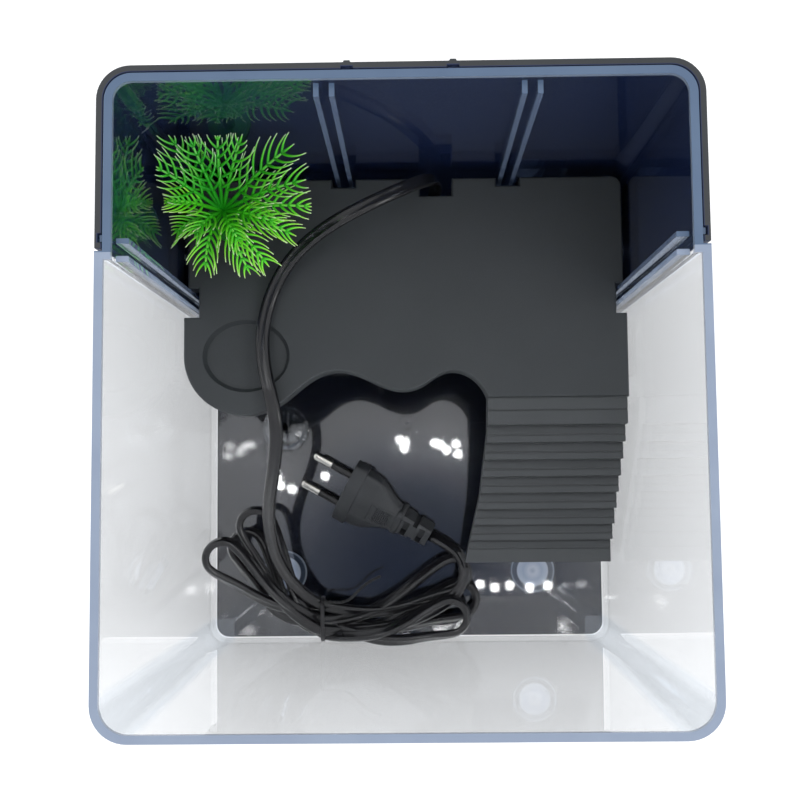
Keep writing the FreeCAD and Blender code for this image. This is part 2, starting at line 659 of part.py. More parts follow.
# Stations of the tied hank: (x, y from, y to, z from, z to).
HANK = [(-89.9, -66.5, -52.5, 37.5, 48.2),
        (-83.0, -72.5, -49.5, 26.0, 48.2),
        (-76.0, -78.0, -37.2, 21.5, 46.0),
        (-66.0, -86.0, -37.2, 17.0, 42.0),
        (-56.0, -93.5, -52.0, 13.5, 36.5),
        (-46.0, -97.5, -73.0, 12.0, 32.0),
        (-39.0, -98.8, -79.8, 11.4, 27.7),
        (-15.0, -99.3, -78.5, 8.0, 34.5),
        (6.0, -99.3, -73.0, 7.2, 38.5),
        (20.0, -97.6, -64.4, 7.6, 37.0),
        (34.0, -89.0, -64.4, 9.0, 25.0)]


def make_hank():
    wires = [polygon([V(x, y0, z0), V(x, y1, z0), V(x, y1, z1), V(x, y0, z1)])
             for x, y0, y1, z0, z1 in HANK]
    return Part.makeLoft(wires, True, True)


TIE_X = -39.0


def make_tie():
    """Twist tie: a band round the middle of the hank and its twisted ends."""
    x0, x1 = TIE_X - 0.9, TIE_X + 0.9
    outer = box((x0, x1), (-99.5, -79.0), (10.6, 28.5))
    inner = box((x0 - 1, x1 + 1), (-98.7, -79.9), (11.5, 27.6))
    band = outer.cut(inner)
    path = [V(TIE_X, -79.5, 28.2), V(-32.6, -81.0, 31.2), V(-26.6, -80.2, 32.0),
            V(-22.0, -75.4, 31.2), V(-17.5, -71.6, 30.5), V(-12.2, -69.4, 30.0)]
    wire, length = rounded_path(path, "tie end")
    direction = V(path[1] - path[0]).normalize()
    section = Part.Wire([Part.Circle(path[0], direction, 0.7).toShape()])
    tail = wire.makePipeShell([section], True, False)
    return band, tail.cut(outer)


# ---- plug --------------------------------------------------------------------------
PLUG_FACE = V(-28.6, -30.6, 20.5)      # middle of the face that the pins stand on
PLUG_YAW = 151.0                       # where the pins point, seen from above
PLUG_ROLL = -40.0                      # how far the plug lies over on its side
PIN_SPACING = 18.6


def place_plug(shape):
    """From the plug's own frame (pins along +X, width along Y) to where it lies."""
    moved = shape.copy()
    moved.rotate(V(0, 0, 0), V(1, 0, 0), PLUG_ROLL)
    moved.rotate(V(0, 0, 0), V(0, 0, 1), PLUG_YAW)
    moved.translate(PLUG_FACE)
    return moved


def plug_section(x, half_w, half_end, half_t):
    """Six-sided plug section: full thickness in the middle, thinner at both edges."""
    mid = half_w - (half_t - half_end) * 1.35
    return polygon([V(x, -half_w, -half_end), V(x, -mid, -half_t), V(x, mid, -half_t),
                    V(x, half_w, -half_end), V(x, half_w, half_end), V(x, mid, half_t),
                    V(x, -mid, half_t), V(x, -half_w, half_end)])


def make_plug():
    collar = Part.makeLoft([plug_section(0, 17.6, 3.2, 6.8), plug_section(-6.5, 17.6, 3.2, 6.8)],
                           True, True)
    body = Part.makeLoft([plug_section(-6.5, 16.4, 2.9, 6.4), plug_section(-16.0, 15.0, 2.9, 6.4),
                          plug_section(-22.5, 7.8, 3.0, 5.8), plug_section(-26.0, 6.4, 3.2, 5.4)],
                         True, True)
    for k in range(6):
        x = -13.6 - 1.15 * k
        for side in (-1, 1):
            ridge = box((x - 0.3, x + 0.3), (-5.0, 5.0), sorted((side * 6.0, side * 6.9)))
            body = body.fuse(ridge)
    body = collar.fuse(body)
    for y in (-PIN_SPACING / 2, PIN_SPACING / 2):
        body = body.cut(cyl(1.95, V(-6.0, y, 0), 7, V(1, 0, 0)))
    return body.removeSplitter()


def make_plug_relief():
    """Strain relief behind the plug: a block with windows through it."""
    relief = Part.makeLoft([plug_section(-26.0, 6.0, 3.6, 4.8), plug_section(-44.0, 4.9, 3.0, 3.9)],
                           True, True)
    for x in (-32.4, -40.0):
        window = box((x - 1.3, x + 1.3), (-4.2, 4.2), (-6, 6))
        core = box((x - 1.4, x + 1.4), (-2.8, 2.8), (-2.0, 2.0))
        relief = relief.cut(window.cut(core))
    for side in (-1, 1):
        relief = relief.cut(box((-37.3, -35.1), sorted((side * 3.4, side * 7.0)), (-6, 6)))
    return relief


def make_pins():
    pins, sleeves = [], []
    for y in (-PIN_SPACING / 2, PIN_SPACING / 2):
        pin = cyl(2.0, V(10.0, y, 0), 8.2, V(1, 0, 0)).fuse(
            Part.makeCone(2.0, 1.3, 0.8, V(18.2, y, 0), V(1, 0, 0)))
        pins.append(pin.removeSplitter())
        sleeves.append(cyl(1.95, V(-6.0, y, 0), 16.0, V(1, 0, 0)))
    return pins, sleeves


# ---- plant -------------------------------------------------------------------------
def make_plant():
    base = cyl(8.5, V(PLANT_X, PLANT_Y, DECK_Z + 0.3), 2.2)
    peg = cyl(3.7, V(PLANT_X, PLANT_Y, DECK_Z - 8.0), 8.4)
    base = base.fuse(peg).removeSplitter()
    top = DECK_Z + 2.5
    stem = Part.makeCone(2.6, 1.9, 105.0 - top, V(PLANT_X, PLANT_Y, top))
    levels = ((105.0, -69.5, 77.0, 9.0, 8.0), (116.0, -63.0, 73.6, 22.0, 18.0),
              (128.0, -60.6, 73.2, 26.6, 22.8), (138.0, -60.4, 73.2, 27.0, 23.0),
              (142.0, -61.5, 74.0, 24.0, 19.0))
    wires = [ellipse_wire(V(x, y, 0), a, b, z) for z, x, y, a, b in levels]
    fronds = Part.makeLoft(wires, True, False)
    return base, stem, fronds


# ---- write every piece -------------------------------------------------------------
shell = make_shell()
save("back_shell", shell)
save("base_tray", make_tray(shell))
save("clear_feet", *make_feet())
save("tub", make_tub())

deck = make_deck()
save("deck", deck)
save("ramp", make_ramp())
save("support_saddles", *make_saddles(deck))
save("support_posts", *make_posts())

save("glass_tube", make_glass())
save("heater_guard", make_guard())
save("end_bumper", make_bumper())
save("ceramic_former", make_former())
save("heating_element", make_element())
board, strip, contacts, lamp, lamp_legs = make_thermostat()
save("circuit_board", board)
save("bimetal_strip", strip)
save("contact_posts", *contacts)
save("indicator_lamp", lamp, *lamp_legs)
save("element_leads", *make_leads())
save("tube_seal", make_seal())
save("heater_head", make_head())
nut, taper = make_gland()
save("gland_nut", nut)
save("strain_relief", taper)
knob, spindle = make_dial()
save("temperature_dial", knob)
save("dial_spindle", spindle)
save("scale_ring", make_scale())
save("suction_cups", *[make_cup(CUP_X, y) for y in CUPS_Y])
save("cup_bar", make_bar())

save("lead_cord", cord_tube(LEAD, "lead"))
save("cord_hank", make_hank())
save("tail_cord", cord_tube(TAIL, "tail"))
save("twist_tie", *make_tie())
save("plug_body", place_plug(make_plug()))
save("plug_relief", place_plug(make_plug_relief()))
pins, sleeves = make_pins()
save("plug_pins", *[place_plug(p) for p in pins])
save("pin_sleeves", *[place_plug(s) for s in sleeves])

base, stem, fronds = make_plant()
save("plant_base", base)
save("plant_stem", stem)
save("plant_fronds", fronds)
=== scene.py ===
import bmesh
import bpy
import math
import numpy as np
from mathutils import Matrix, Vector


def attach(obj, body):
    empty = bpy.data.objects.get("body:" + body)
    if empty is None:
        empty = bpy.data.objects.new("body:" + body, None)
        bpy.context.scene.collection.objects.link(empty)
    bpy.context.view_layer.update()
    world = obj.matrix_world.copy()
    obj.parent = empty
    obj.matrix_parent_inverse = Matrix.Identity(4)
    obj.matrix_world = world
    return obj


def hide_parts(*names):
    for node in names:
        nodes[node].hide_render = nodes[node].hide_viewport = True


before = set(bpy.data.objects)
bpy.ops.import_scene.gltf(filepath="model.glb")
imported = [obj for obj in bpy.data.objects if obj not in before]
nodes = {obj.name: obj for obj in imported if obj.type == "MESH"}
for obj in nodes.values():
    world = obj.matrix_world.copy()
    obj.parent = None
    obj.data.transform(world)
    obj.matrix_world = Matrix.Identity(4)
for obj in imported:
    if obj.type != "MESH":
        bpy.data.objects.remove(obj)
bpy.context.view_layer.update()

# %% [markdown]
# # A small turtle tank and its heater
# A clear tub stands in a black cradle.  A basking deck with a ramp hangs in it, the
# heater sits below the deck, and its flat lead comes up through a notch, crosses the
# deck and lies in a tied hank with its plug on the tank's floor.  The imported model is
# the frame: most rigid parts keep their own mesh and only get a finish here, and the
# soft ones (lead, plant, twist tie) and the moulded plug are made anew.

MM = 0.001

# %% [markdown]
# ## The camera
# The tank is looked at from straight above its open top, half a metre up and a
# little off centre, so all four walls show.  Three small turns about X, Y and Z say
# how far the camera is from looking exactly down.

# %% Camera above the open top
CAMERA_PLACE = (0.00328, -0.02550, 0.49969)
CAMERA_TURNS = (0.0735798, 0.0132498, -0.0106855)

camera_data = bpy.data.cameras.new("overhead_view")
camera_data.sensor_width = 36.0
camera_data.lens = 46.99
camera_data.clip_start = 0.01
camera = bpy.data.objects.new("overhead_view", camera_data)
turn = Matrix.Identity(4)
for angle, axis in zip(CAMERA_TURNS, "XYZ"):
    turn = turn @ Matrix.Rotation(angle, 4, axis)
camera.matrix_world = Matrix.Translation(CAMERA_PLACE) @ turn
bpy.context.scene.collection.objects.link(camera)
bpy.context.scene.camera = camera
print("camera", CAMERA_PLACE, "lens", camera_data.lens)

# %% [markdown]
# ## Surfaces from numbers
# Every new piece is a grid of points: one direction runs along the piece and the
# other round it.  A helper joins the grid into four-sided faces, closes the ends and
# checks by the enclosed volume that the faces look outwards.  Doing this with whole
# arrays is quick and keeps the shape's formula in one place.

# %% Grid to mesh
def grid_faces(rows, columns, first=0, wrap=False):
    """Corner numbers of the quads between neighbouring rows of a rows x columns grid
    that is closed round its columns, and round its rows too if wrap is true."""
    last = rows if wrap else rows - 1
    i = np.arange(last)[:, None]
    j = np.arange(columns)[None, :]
    near, far = i * columns, ((i + 1) % rows) * columns
    nxt = (j + 1) % columns
    quads = np.stack([near + j, near + nxt, far + nxt, far + j], -1)
    return quads.reshape(-1, 4) + first


def grid_mesh(name, points, wrap=False, values=None):
    """Mesh of one or more tubes.  points is (tubes, rows, columns, 3); each tube's two
    ends are closed by a fan round their middle.  values, if given, is (tubes, rows, 2)
    and becomes the mesh's UV map."""
    points = np.asarray(points, float)
    if points.ndim == 3:
        points = points[None]
    tubes, rows, columns, _ = points.shape
    verts = points.reshape(-1, 3)
    one = grid_faces(rows, columns, 0, wrap)
    offsets = (np.arange(tubes) * rows * columns)[:, None, None]
    quads = (one[None] + offsets).reshape(-1, 4)
    faces = quads.tolist()
    if not wrap:
        middles = np.stack([points[:, 0].mean(1), points[:, -1].mean(1)], 1).reshape(-1, 3)
        base = len(verts)
        verts = np.vstack([verts, middles])
        j = np.arange(columns)
        for end, row in ((0, 0), (1, rows - 1)):
            ring = offsets[:, 0] + row * columns + j
            nxt = offsets[:, 0] + row * columns + (j + 1) % columns
            hub = np.broadcast_to((base + 2 * np.arange(tubes) + end)[:, None], ring.shape)
            order = (nxt, ring, hub) if end == 0 else (ring, nxt, hub)
            faces += np.stack(order, -1).reshape(-1, 3).tolist()
    mesh = bpy.data.meshes.new(name)
    mesh.from_pydata(verts.tolist(), [], faces)
    mesh.update()
    if signed_volume(mesh) < 0:
        mesh.flip_normals()
    if values is not None:
        per_vertex = np.repeat(np.asarray(values, float)[:, :, None], columns, 2).reshape(-1, 2)
        if not wrap:
            ends = np.asarray(values, float)[:, [0, -1]].reshape(-1, 2)
            per_vertex = np.vstack([per_vertex, ends])
        layer = mesh.uv_layers.new(name="along")
        corner = np.zeros(len(mesh.loops), np.int32)
        mesh.loops.foreach_get("vertex_index", corner)
        layer.data.foreach_set("uv", per_vertex[corner].astype(np.float32).ravel())
    mesh.shade_smooth()
    return mesh


def signed_volume(mesh):
    """Sum over the triangles of a . (b x c) / 6: positive if the faces look outwards."""
    mesh.calc_loop_triangles()
    co = np.zeros(len(mesh.vertices) * 3)
    mesh.vertices.foreach_get("co", co)
    co = co.reshape(-1, 3)
    tri = np.zeros(len(mesh.loop_triangles) * 3, np.int32)
    mesh.loop_triangles.foreach_get("vertices", tri)
    a, b, c = co[tri.reshape(-1, 3)].transpose(1, 0, 2)
    return float((a * np.cross(b, c)).sum() / 6)


def piece(name, mesh, body, material):
    """A finished object from a mesh, riding on a body and painted with a material."""
    obj = bpy.data.objects.new(name, mesh)
    bpy.context.scene.collection.objects.link(obj)
    mesh.materials.clear()
    mesh.materials.append(material)
    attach(obj, body)
    return obj


def unit(v):
    return v / np.linalg.norm(v, axis=-1, keepdims=True)


# %% [markdown]
# ## Finishes
# A moulded part is never one flat colour: it has a fine grain, a slow drift in shade
# and a sheen that varies.  One helper makes such a finish from two noise patterns on
# Object coordinates, which are metres on every piece, so the grain has its real size.

# %% Finish helpers
def new_material(name):
    material = bpy.data.materials.new(name)
    material.use_nodes = True
    tree = material.node_tree
    return material, tree, tree.nodes["Principled BSDF"]


def noise(tree, scale, detail=3.0, rough=0.55, stretch=(1, 1, 1)):
    """Noise on Object coordinates; scale is features per metre."""
    where = tree.nodes.new("ShaderNodeTexCoord")
    mapping = tree.nodes.new("ShaderNodeMapping")
    mapping.inputs["Scale"].default_value = stretch
    tree.links.new(where.outputs["Object"], mapping.inputs["Vector"])
    texture = tree.nodes.new("ShaderNodeTexNoise")
    texture.inputs["Scale"].default_value = scale
    texture.inputs["Detail"].default_value = detail
    texture.inputs["Roughness"].default_value = rough
    tree.links.new(mapping.outputs["Vector"], texture.inputs["Vector"])
    return texture.outputs["Fac"]


def ramp(tree, value, stops):
    """A colour ramp through (position, colour) stops."""
    node = tree.nodes.new("ShaderNodeValToRGB")
    while len(node.color_ramp.elements) < len(stops):
        node.color_ramp.elements.new(0.5)
    for element, (at, colour) in zip(node.color_ramp.elements, stops):
        element.position = at
        element.color = (*colour, 1.0)
    tree.links.new(value, node.inputs["Fac"])
    return node.outputs["Color"]


def remap(tree, value, low, high):
    node = tree.nodes.new("ShaderNodeMapRange")
    node.inputs["From Min"].default_value = 0.3
    node.inputs["From Max"].default_value = 0.7
    node.inputs["To Min"].default_value = low
    node.inputs["To Max"].default_value = high
    tree.links.new(value, node.inputs["Value"])
    return node.outputs["Result"]


def bump(tree, shader, heights, distance):
    """Bumps from a list of (pattern, strength), one after another."""
    last = None
    for value, strength in heights:
        node = tree.nodes.new("ShaderNodeBump")
        node.inputs["Strength"].default_value = strength
        node.inputs["Distance"].default_value = distance
        tree.links.new(value, node.inputs["Height"])
        if last is not None:
            tree.links.new(last, node.inputs["Normal"])
        last = node.outputs["Normal"]
    tree.links.new(last, shader.inputs["Normal"])


def moulded(name, dark, light, roughness, grain=2600.0, grain_strength=0.12, drift=30.0,
            specular=0.5, metallic=0.0, distance=0.00012, stretch=(1, 1, 1)):
    """A moulded or machined finish: slow drift between two shades, fine grain in the
    surface, and a roughness that runs between two values."""
    material, tree, shader = new_material(name)
    slow, fine = noise(tree, drift, 4.0), noise(tree, grain, 2.0, 0.6, stretch)
    tree.links.new(ramp(tree, slow, [(0.3, dark), (0.7, light)]), shader.inputs["Base Color"])
    tree.links.new(remap(tree, fine, *roughness), shader.inputs["Roughness"])
    shader.inputs["Specular IOR Level"].default_value = specular
    shader.inputs["Metallic"].default_value = metallic
    bump(tree, shader, [(slow, 0.05), (fine, grain_strength)], distance)
    return material


def clear(name, tint, roughness, ior=1.03, weight=1.0, ripple=0.02, ripple_scale=60.0):
    """A clear plastic.  A thin wall hardly bends what is seen through it, so the body
    has a low index, and a clear coat gives the full shine of its surface."""
    material, tree, shader = new_material(name)
    slow, fine = noise(tree, ripple_scale, 2.0), noise(tree, 900.0, 2.0)
    shade = tuple(c * 0.985 for c in tint)
    tree.links.new(ramp(tree, slow, [(0.3, shade), (0.7, tint)]), shader.inputs["Base Color"])
    tree.links.new(remap(tree, fine, roughness * 0.7, roughness * 1.3), shader.inputs["Roughness"])
    shader.inputs["Transmission Weight"].default_value = weight
    shader.inputs["IOR"].default_value = ior
    shader.inputs["Coat Weight"].default_value = 1.0
    shader.inputs["Coat Roughness"].default_value = 0.03
    shader.inputs["Coat IOR"].default_value = 1.55
    bump(tree, shader, [(slow, ripple)], 0.002)
    return material


# %% [markdown]
# ## The lead
# A flat twin lead: two wires side by side in one black jacket, 5.4 mm wide and 3.4 mm
# thick.  It leaves the heater's head below the deck, comes up the rear notch, crosses
# the deck and drops to the tie, where six loops are bound, and goes on to the plug.
# One NURBS spline carries it from end to end: the points of its route and,
# between them, the loops' points, so it has no corner where one stretch meets another.

# %% Route of the lead, in millimetres
LEAD_ROUTE = [(12.0, 75.91, 43.79), (12.0, 84.7, 46.8), (12.2, 91.2, 56.0), (12.9, 92.9, 69.5),
              (13.6, 93.4, 85.5), (9.0, 90.6, 99.0), (-3.5, 82.8, 108.5), (-20.5, 74.6, 110.0),
              (-34.5, 67.6, 103.5), (-45.6, 59.5, 94.5), (-53.0, 47.5, 90.3), (-56.6, 32.5, 90.4),
              (-55.6, 17.5, 91.4), (-51.6, 3.5, 94.0), (-50.6, -9.0, 90.0), (-53.2, -21.5, 80.5),
              (-57.0, -34.5, 67.5), (-58.9, -47.0, 53.5), (-57.6, -59.5, 42.5),
              (-52.0, -71.5, 32.5), (-41.5, -83.0, 22.0)]
TAIL_ROUTE = [(-39.0, -94.6, 23.8), (-21.5, -94.3, 21.0), (-4.0, -92.2, 20.5), (9.4, -87.2, 21.0),
              (18.6, -81.6, 22.5), (24.6, -73.6, 24.0), (25.6, -65.2, 24.5), (21.0, -57.6, 22.3),
              (9.9, -51.9, 20.5)]
# Where the lead goes through the tie, in order, and how far each loop reaches.
TIE_PASSES = np.array([(-41.5, -83.0, 22.0), (-39.5, -90.6, 21.8), (-39.0, -86.6, 17.6),
                       (-39.5, -96.4, 14.5), (-39.0, -91.2, 17.2), (-39.0, -96.8, 19.0),
                       (-39.0, -94.6, 23.8)])
LOOP_TIPS = np.array([(27.0, -67.8, 19.5), (-86.4, -56.0, 45.0), (31.0, -80.5, 13.5),
                      (-77.0, -51.0, 29.0), (26.0, -87.0, 28.0), (-70.8, -40.5, 37.0)])
LOOP_RADIUS = [7.0, 7.2, 7.6, 7.2, 7.6, 7.2]         # of each loop's round end
LOOP_SAG = np.array([(2, -6.0, 0), (-2, -4.0, -1.0), (0, -7, -3), (-4.0, -8.5, -3.0),
                     (4, -4.2, 12.0), (-2.0, -6.0, -1.0)])   # how far its middle hangs out
LOOP_POINTS = 14


def loop_points(start, end, tip, radius, sag):
    """One loop: a run out from the tie, a round end about tip, and a run back to the
    tie.  The round end's points lie on a circle of radius / cos(20 degrees), which the
    spline then cuts inside.  A run is a straight line plus a sag, t^1.5 (1 - t)^2."""
    ahead = unit(tip - (start + end) / 2)
    side = unit(np.cross((0, 0, 1.0), ahead))
    turn = np.radians(np.linspace(-100, 100, 6))[:, None]
    outer = radius / math.cos(math.radians(20))
    bend = tip - radius * ahead + outer * (np.cos(turn) * ahead + np.sin(turn) * side)
    t = np.array([0.2, 0.4, 0.6, 0.8])[:, None]
    hang = 10.86 * t ** 1.5 * (1 - t) ** 2 * sag
    out = start + (bend[0] - start) * t + hang
    back = end + (bend[-1] - end) * t + hang
    return np.vstack([out, bend, back[::-1]])


route = [np.array(LEAD_ROUTE[:-1]), TIE_PASSES[:1]]
for k in range(len(LOOP_TIPS)):
    route.append(loop_points(TIE_PASSES[k], TIE_PASSES[k + 1], LOOP_TIPS[k], LOOP_RADIUS[k],
                             LOOP_SAG[k]))
    route.append(TIE_PASSES[k + 1][None])
route.append(np.array(TAIL_ROUTE[1:]))
route = np.vstack(route)
print("lead route of", len(route), "points")


# %% The spline and the line read back from it
def nurbs_line(name, points):
    """Points along an open NURBS spline, in metres, as Blender evaluates it."""
    curve = bpy.data.curves.new(name, "CURVE")
    curve.dimensions = "3D"
    curve.resolution_u = 8
    spline = curve.splines.new("NURBS")
    spline.points.add(len(points) - 1)
    homogeneous = np.column_stack([points * MM, np.ones(len(points))])
    spline.points.foreach_set("co", homogeneous.ravel())
    spline.order_u = 3
    spline.use_endpoint_u = True
    obj = bpy.data.objects.new(name, curve)
    mesh = bpy.data.meshes.new_from_object(obj)
    line = np.zeros(len(mesh.vertices) * 3)
    mesh.vertices.foreach_get("co", line)
    bpy.data.objects.remove(obj)
    bpy.data.curves.remove(curve)
    bpy.data.meshes.remove(mesh)
    return line.reshape(-1, 3)


def arc_length(line):
    return np.r_[0.0, np.cumsum(np.linalg.norm(np.diff(line, axis=0), axis=1))]


lead_line = nurbs_line("lead_route", route)
lead_length = arc_length(lead_line)[-1]
print("lead line", len(lead_line), "points, length", round(lead_length, 4), "m")


# %% [markdown]
# The jacket's section is a flattened oval with a shallow groove along each face.  A
# flat lead lies on its face where it crosses the deck and stands up on its edge where
# it turns tightly, so the section is rolled by an angle that changes along the line.

# %% Flat twin jacket along the line
JACKET_W, JACKET_T = 5.4, 3.4


def jacket_section(count=32):
    """Oval of |x/a|^3 + |y/b|^3 = 1, pinched by a narrow bell at the middle of a face."""
    a = np.linspace(0, 2 * math.pi, count, endpoint=False)
    x = JACKET_W / 2 * np.sign(np.cos(a)) * np.abs(np.cos(a)) ** 0.66
    y = JACKET_T / 2 * np.sign(np.sin(a)) * np.abs(np.sin(a)) ** 0.66
    return np.column_stack([x, y * (1 - 0.2 * np.exp(-(x / 0.75) ** 2))]) * MM


def smooth(values, width):
    """Running mean along a line, with the ends held."""
    padded = np.pad(values, ((width, width), (0, 0)), mode="edge")
    total = np.cumsum(np.vstack([np.zeros(values.shape[1]), padded]), axis=0)
    window = 2 * width + 1
    return (total[window:] - total[:-window]) / window


def rolled_frames(line, roll):
    """For each point: the width direction, level and square to the line, turned up out
    of the level by roll (radians), and the thickness direction square to both."""
    tangent = unit(np.gradient(line, axis=0))
    level = np.cross(tangent, (0, 0, 1.0))
    level = unit(level)
    flips = np.sign((level[1:] * level[:-1]).sum(1))
    level = level * np.cumprod(np.r_[1.0, flips])[:, None]
    level = smooth(level, 9)
    level = unit(level - tangent * (level * tangent).sum(1, keepdims=True))
    up = np.cross(level, tangent)
    up = up * np.sign(up[:, 2:3] + 1e-9)
    width = level * np.cos(roll)[:, None] + up * np.sin(roll)[:, None]
    return width, np.cross(tangent, width)


# Roll at the route's points: nearly flat on the deck, on edge at the tips of the loops.
TIE_ROLL, TIP_ROLL = 24, 80        # degrees, at the tie and at a loop's tip
loop_share = np.sin(np.linspace(0, math.pi, LOOP_POINTS + 2)[1:]) ** 2
loop_roll = TIE_ROLL + (TIP_ROLL - TIE_ROLL) * loop_share
roll_degrees = np.r_[np.zeros(7), np.linspace(0, TIE_ROLL, len(LEAD_ROUTE) - 7),
                     np.tile(loop_roll, len(LOOP_TIPS)), np.linspace(30, 40, len(TAIL_ROUTE) - 1)]
share_route = arc_length(route) / arc_length(route)[-1]
share_line = arc_length(lead_line) / lead_length
roll = np.radians(np.interp(share_line, share_route, roll_degrees))
roll = smooth(roll[:, None], 6)[:, 0]
width_dir, thick_dir = rolled_frames(lead_line, roll)
section = jacket_section()
jacket = (lead_line[:, None] + section[None, :, :1] * width_dir[:, None]
          + section[None, :, 1:] * thick_dir[:, None])
along = np.stack([share_line * lead_length, np.zeros_like(share_line)], -1)[None]
cord_black = moulded("glossy_black_jacket", (0.006, 0.006, 0.007), (0.013, 0.013, 0.015),
                     (0.14, 0.22), grain=1500.0, grain_strength=0.01, drift=40.0,
                     distance=0.00001)
lead = piece("flat_lead", grid_mesh("flat_lead", jacket, values=along), "platform",
             cord_black)
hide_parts("lead_cord", "cord_hank", "tail_cord")
print("jacket of", len(lead.data.polygons), "faces")

# %% [markdown]
# ## The twist tie
# A flat strip goes once round the six loops and its two thin ends are twisted
# together and left sticking up.  The strip is a ring with a thin oblong section; the
# ends are two fine wires winding about one gently curved line.

# %% Twist tie
TIE_X = -39.0


def tie_band():
    """A rounded oblong ring in the plane x = TIE_X, leaning a little, carried by a
    section 1.7 mm wide and 0.5 mm thick with soft corners."""
    a = np.linspace(0, 2 * math.pi, 96, endpoint=False)
    y = 9.75 * np.sign(np.cos(a)) * np.abs(np.cos(a)) ** 0.62
    z = 8.3 * np.sign(np.sin(a)) * np.abs(np.sin(a)) ** 0.62
    lean = 0.05 * z
    middle = np.column_stack([TIE_X + lean, -89.35 + y, 19.5 + z])
    forward = unit(np.roll(middle, -1, axis=0) - np.roll(middle, 1, axis=0))
    across = np.array([1.0, 0, 0]) - forward * forward[:, :1]
    across = unit(across)
    outward = np.cross(forward, across)
    b = np.linspace(0, 2 * math.pi, 12, endpoint=False)
    flat = np.column_stack([0.85 * np.cos(b), 0.25 * np.sign(np.sin(b)) * np.abs(np.sin(b)) ** 0.5])
    points = (middle[:, None] + flat[None, :, :1] * across[:, None]
              + flat[None, :, 1:] * outward[:, None])
    return points * MM


def twisted_ends():
    """Two wires of radius 0.32 mm on a helix of radius 0.36 mm about a curved line."""
    line = nurbs_line("tie_end", np.array([(-38.6, -80.4, 28.0), (-32.6, -81.0, 31.0),
                                           (-26.6, -80.2, 31.8), (-22.0, -75.4, 31.2),
                                           (-17.5, -71.6, 30.5), (-12.4, -69.5, 30.0)]))
    even = np.linspace(0, arc_length(line)[-1], 150)
    line = np.column_stack([np.interp(even, arc_length(line), line[:, k]) for k in range(3)])
    side, up = rolled_frames(line, np.zeros(len(line)))
    wires = []
    for start in (0.0, math.pi):
        turn_at = start + even / (4.2 * MM) * 2 * math.pi
        spiral = np.cos(turn_at)[:, None] * side + np.sin(turn_at)[:, None] * up
        centre = line + 0.36 * MM * spiral
        wires.append(round_tube(centre, np.full(len(centre), 0.32 * MM), 8))
    return np.stack(wires)


def round_tube(line, radius, count):
    """Circles of the given radii square to a line."""
    side, up = rolled_frames(line, np.zeros(len(line)))
    a = np.linspace(0, 2 * math.pi, count, endpoint=False)
    ring = np.cos(a)[None, :, None] * side[:, None] + np.sin(a)[None, :, None] * up[:, None]
    return line[:, None] + ring * np.asarray(radius)[:, None, None]


tie_black = moulded("tie_strip", (0.008, 0.008, 0.009), (0.016, 0.016, 0.018), (0.3, 0.45),
                    grain=1800.0)
band = piece("tie_strip", grid_mesh("tie_strip", tie_band(), wrap=True), "platform",
             tie_black)
ends = piece("tie_ends", grid_mesh("tie_ends", twisted_ends()), "platform", tie_black)
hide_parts("twist_tie")
print("twist tie:", band.name, ends.name)

# %% [markdown]
# ## The plug
# A flat two-pin plug, moulded on the lead in one piece.  From the pins back: a thick
# collar, a body that keeps its width and then sweeps in, a ribbed grip on each broad
# face, a square neck and a strain relief with windows.  Each section is a polygon with
# rounded corners, so the body is a surface of two parameters: the place along the plug
# and the angle round it.  The rounding comes from raising the distances to the sides
# to a high power and adding them, which melts the corners together.

# %% Where the plug lies
PLUG_FACE = (-28.6, -30.6, 20.5)
PLUG_ROLL, PLUG_YAW = math.radians(-40.0), math.radians(151.0)


def place_plug(points):
    """From the plug's own frame (pins along +X, width along Y) to where it lies."""
    x, y, z = np.moveaxis(np.asarray(points, float), -1, 0)
    cos, sin = math.cos(PLUG_ROLL), math.sin(PLUG_ROLL)
    y, z = y * cos - z * sin, y * sin + z * cos
    cos, sin = math.cos(PLUG_YAW), math.sin(PLUG_YAW)
    x, y = x * cos - y * sin, x * sin + y * cos
    return (np.stack([x, y, z], -1) + PLUG_FACE) * MM


def eight_sided(x, half_w, crease, half_t, edge_t, count=128, sharp=26.0):
    """Rounded sections, one per x: flat faces at half_t out to the crease, sloping
    down to edge_t at half_w.  Radius at an angle = (sum of (u.n / d)^k)^(-1/k)."""
    a = np.linspace(0, 2 * math.pi, count, endpoint=False)[None, :]
    u, v = np.cos(a), np.sin(a)
    half_w, crease, half_t, edge_t = (np.asarray(q, float)[:, None]
                                      for q in (half_w, crease, half_t, edge_t))
    run, drop = half_w - crease, half_t - edge_t
    length = np.hypot(run, drop)
    ny, nz = drop / length, run / length
    reach = ny * half_w + nz * edge_t
    total = (np.maximum(u, 0) / half_w) ** sharp + (np.maximum(-u, 0) / half_w) ** sharp
    total = total + (np.abs(v) / half_t) ** sharp
    for sy in (-1, 1):
        for sz in (-1, 1):
            total = total + (np.maximum(sy * ny * u + sz * nz * v, 0) / reach) ** sharp
    radius = total ** (-1 / sharp)
    along = np.broadcast_to(np.asarray(x)[:, None], radius.shape)
    return np.stack([along, radius * u, radius * v], -1)


# %% Collar and body of the plug
def collar_points():
    """The collar: one section carried 6.5 mm, drawn in at both ends for a soft edge."""
    x = -np.array([0.0, 0.0, 0.15, 0.5, 3.2, 6.0, 6.35, 6.5, 6.5])
    shrink = np.array([0.6, 0.5, 0.15, 0.0, 0.0, 0.0, 0.15, 0.5, 0.6])
    one = np.ones_like(x)
    return eight_sided(x, 17.5 - shrink, 6.2 * one, 6.7 - shrink, 3.1 - shrink * 0.5)


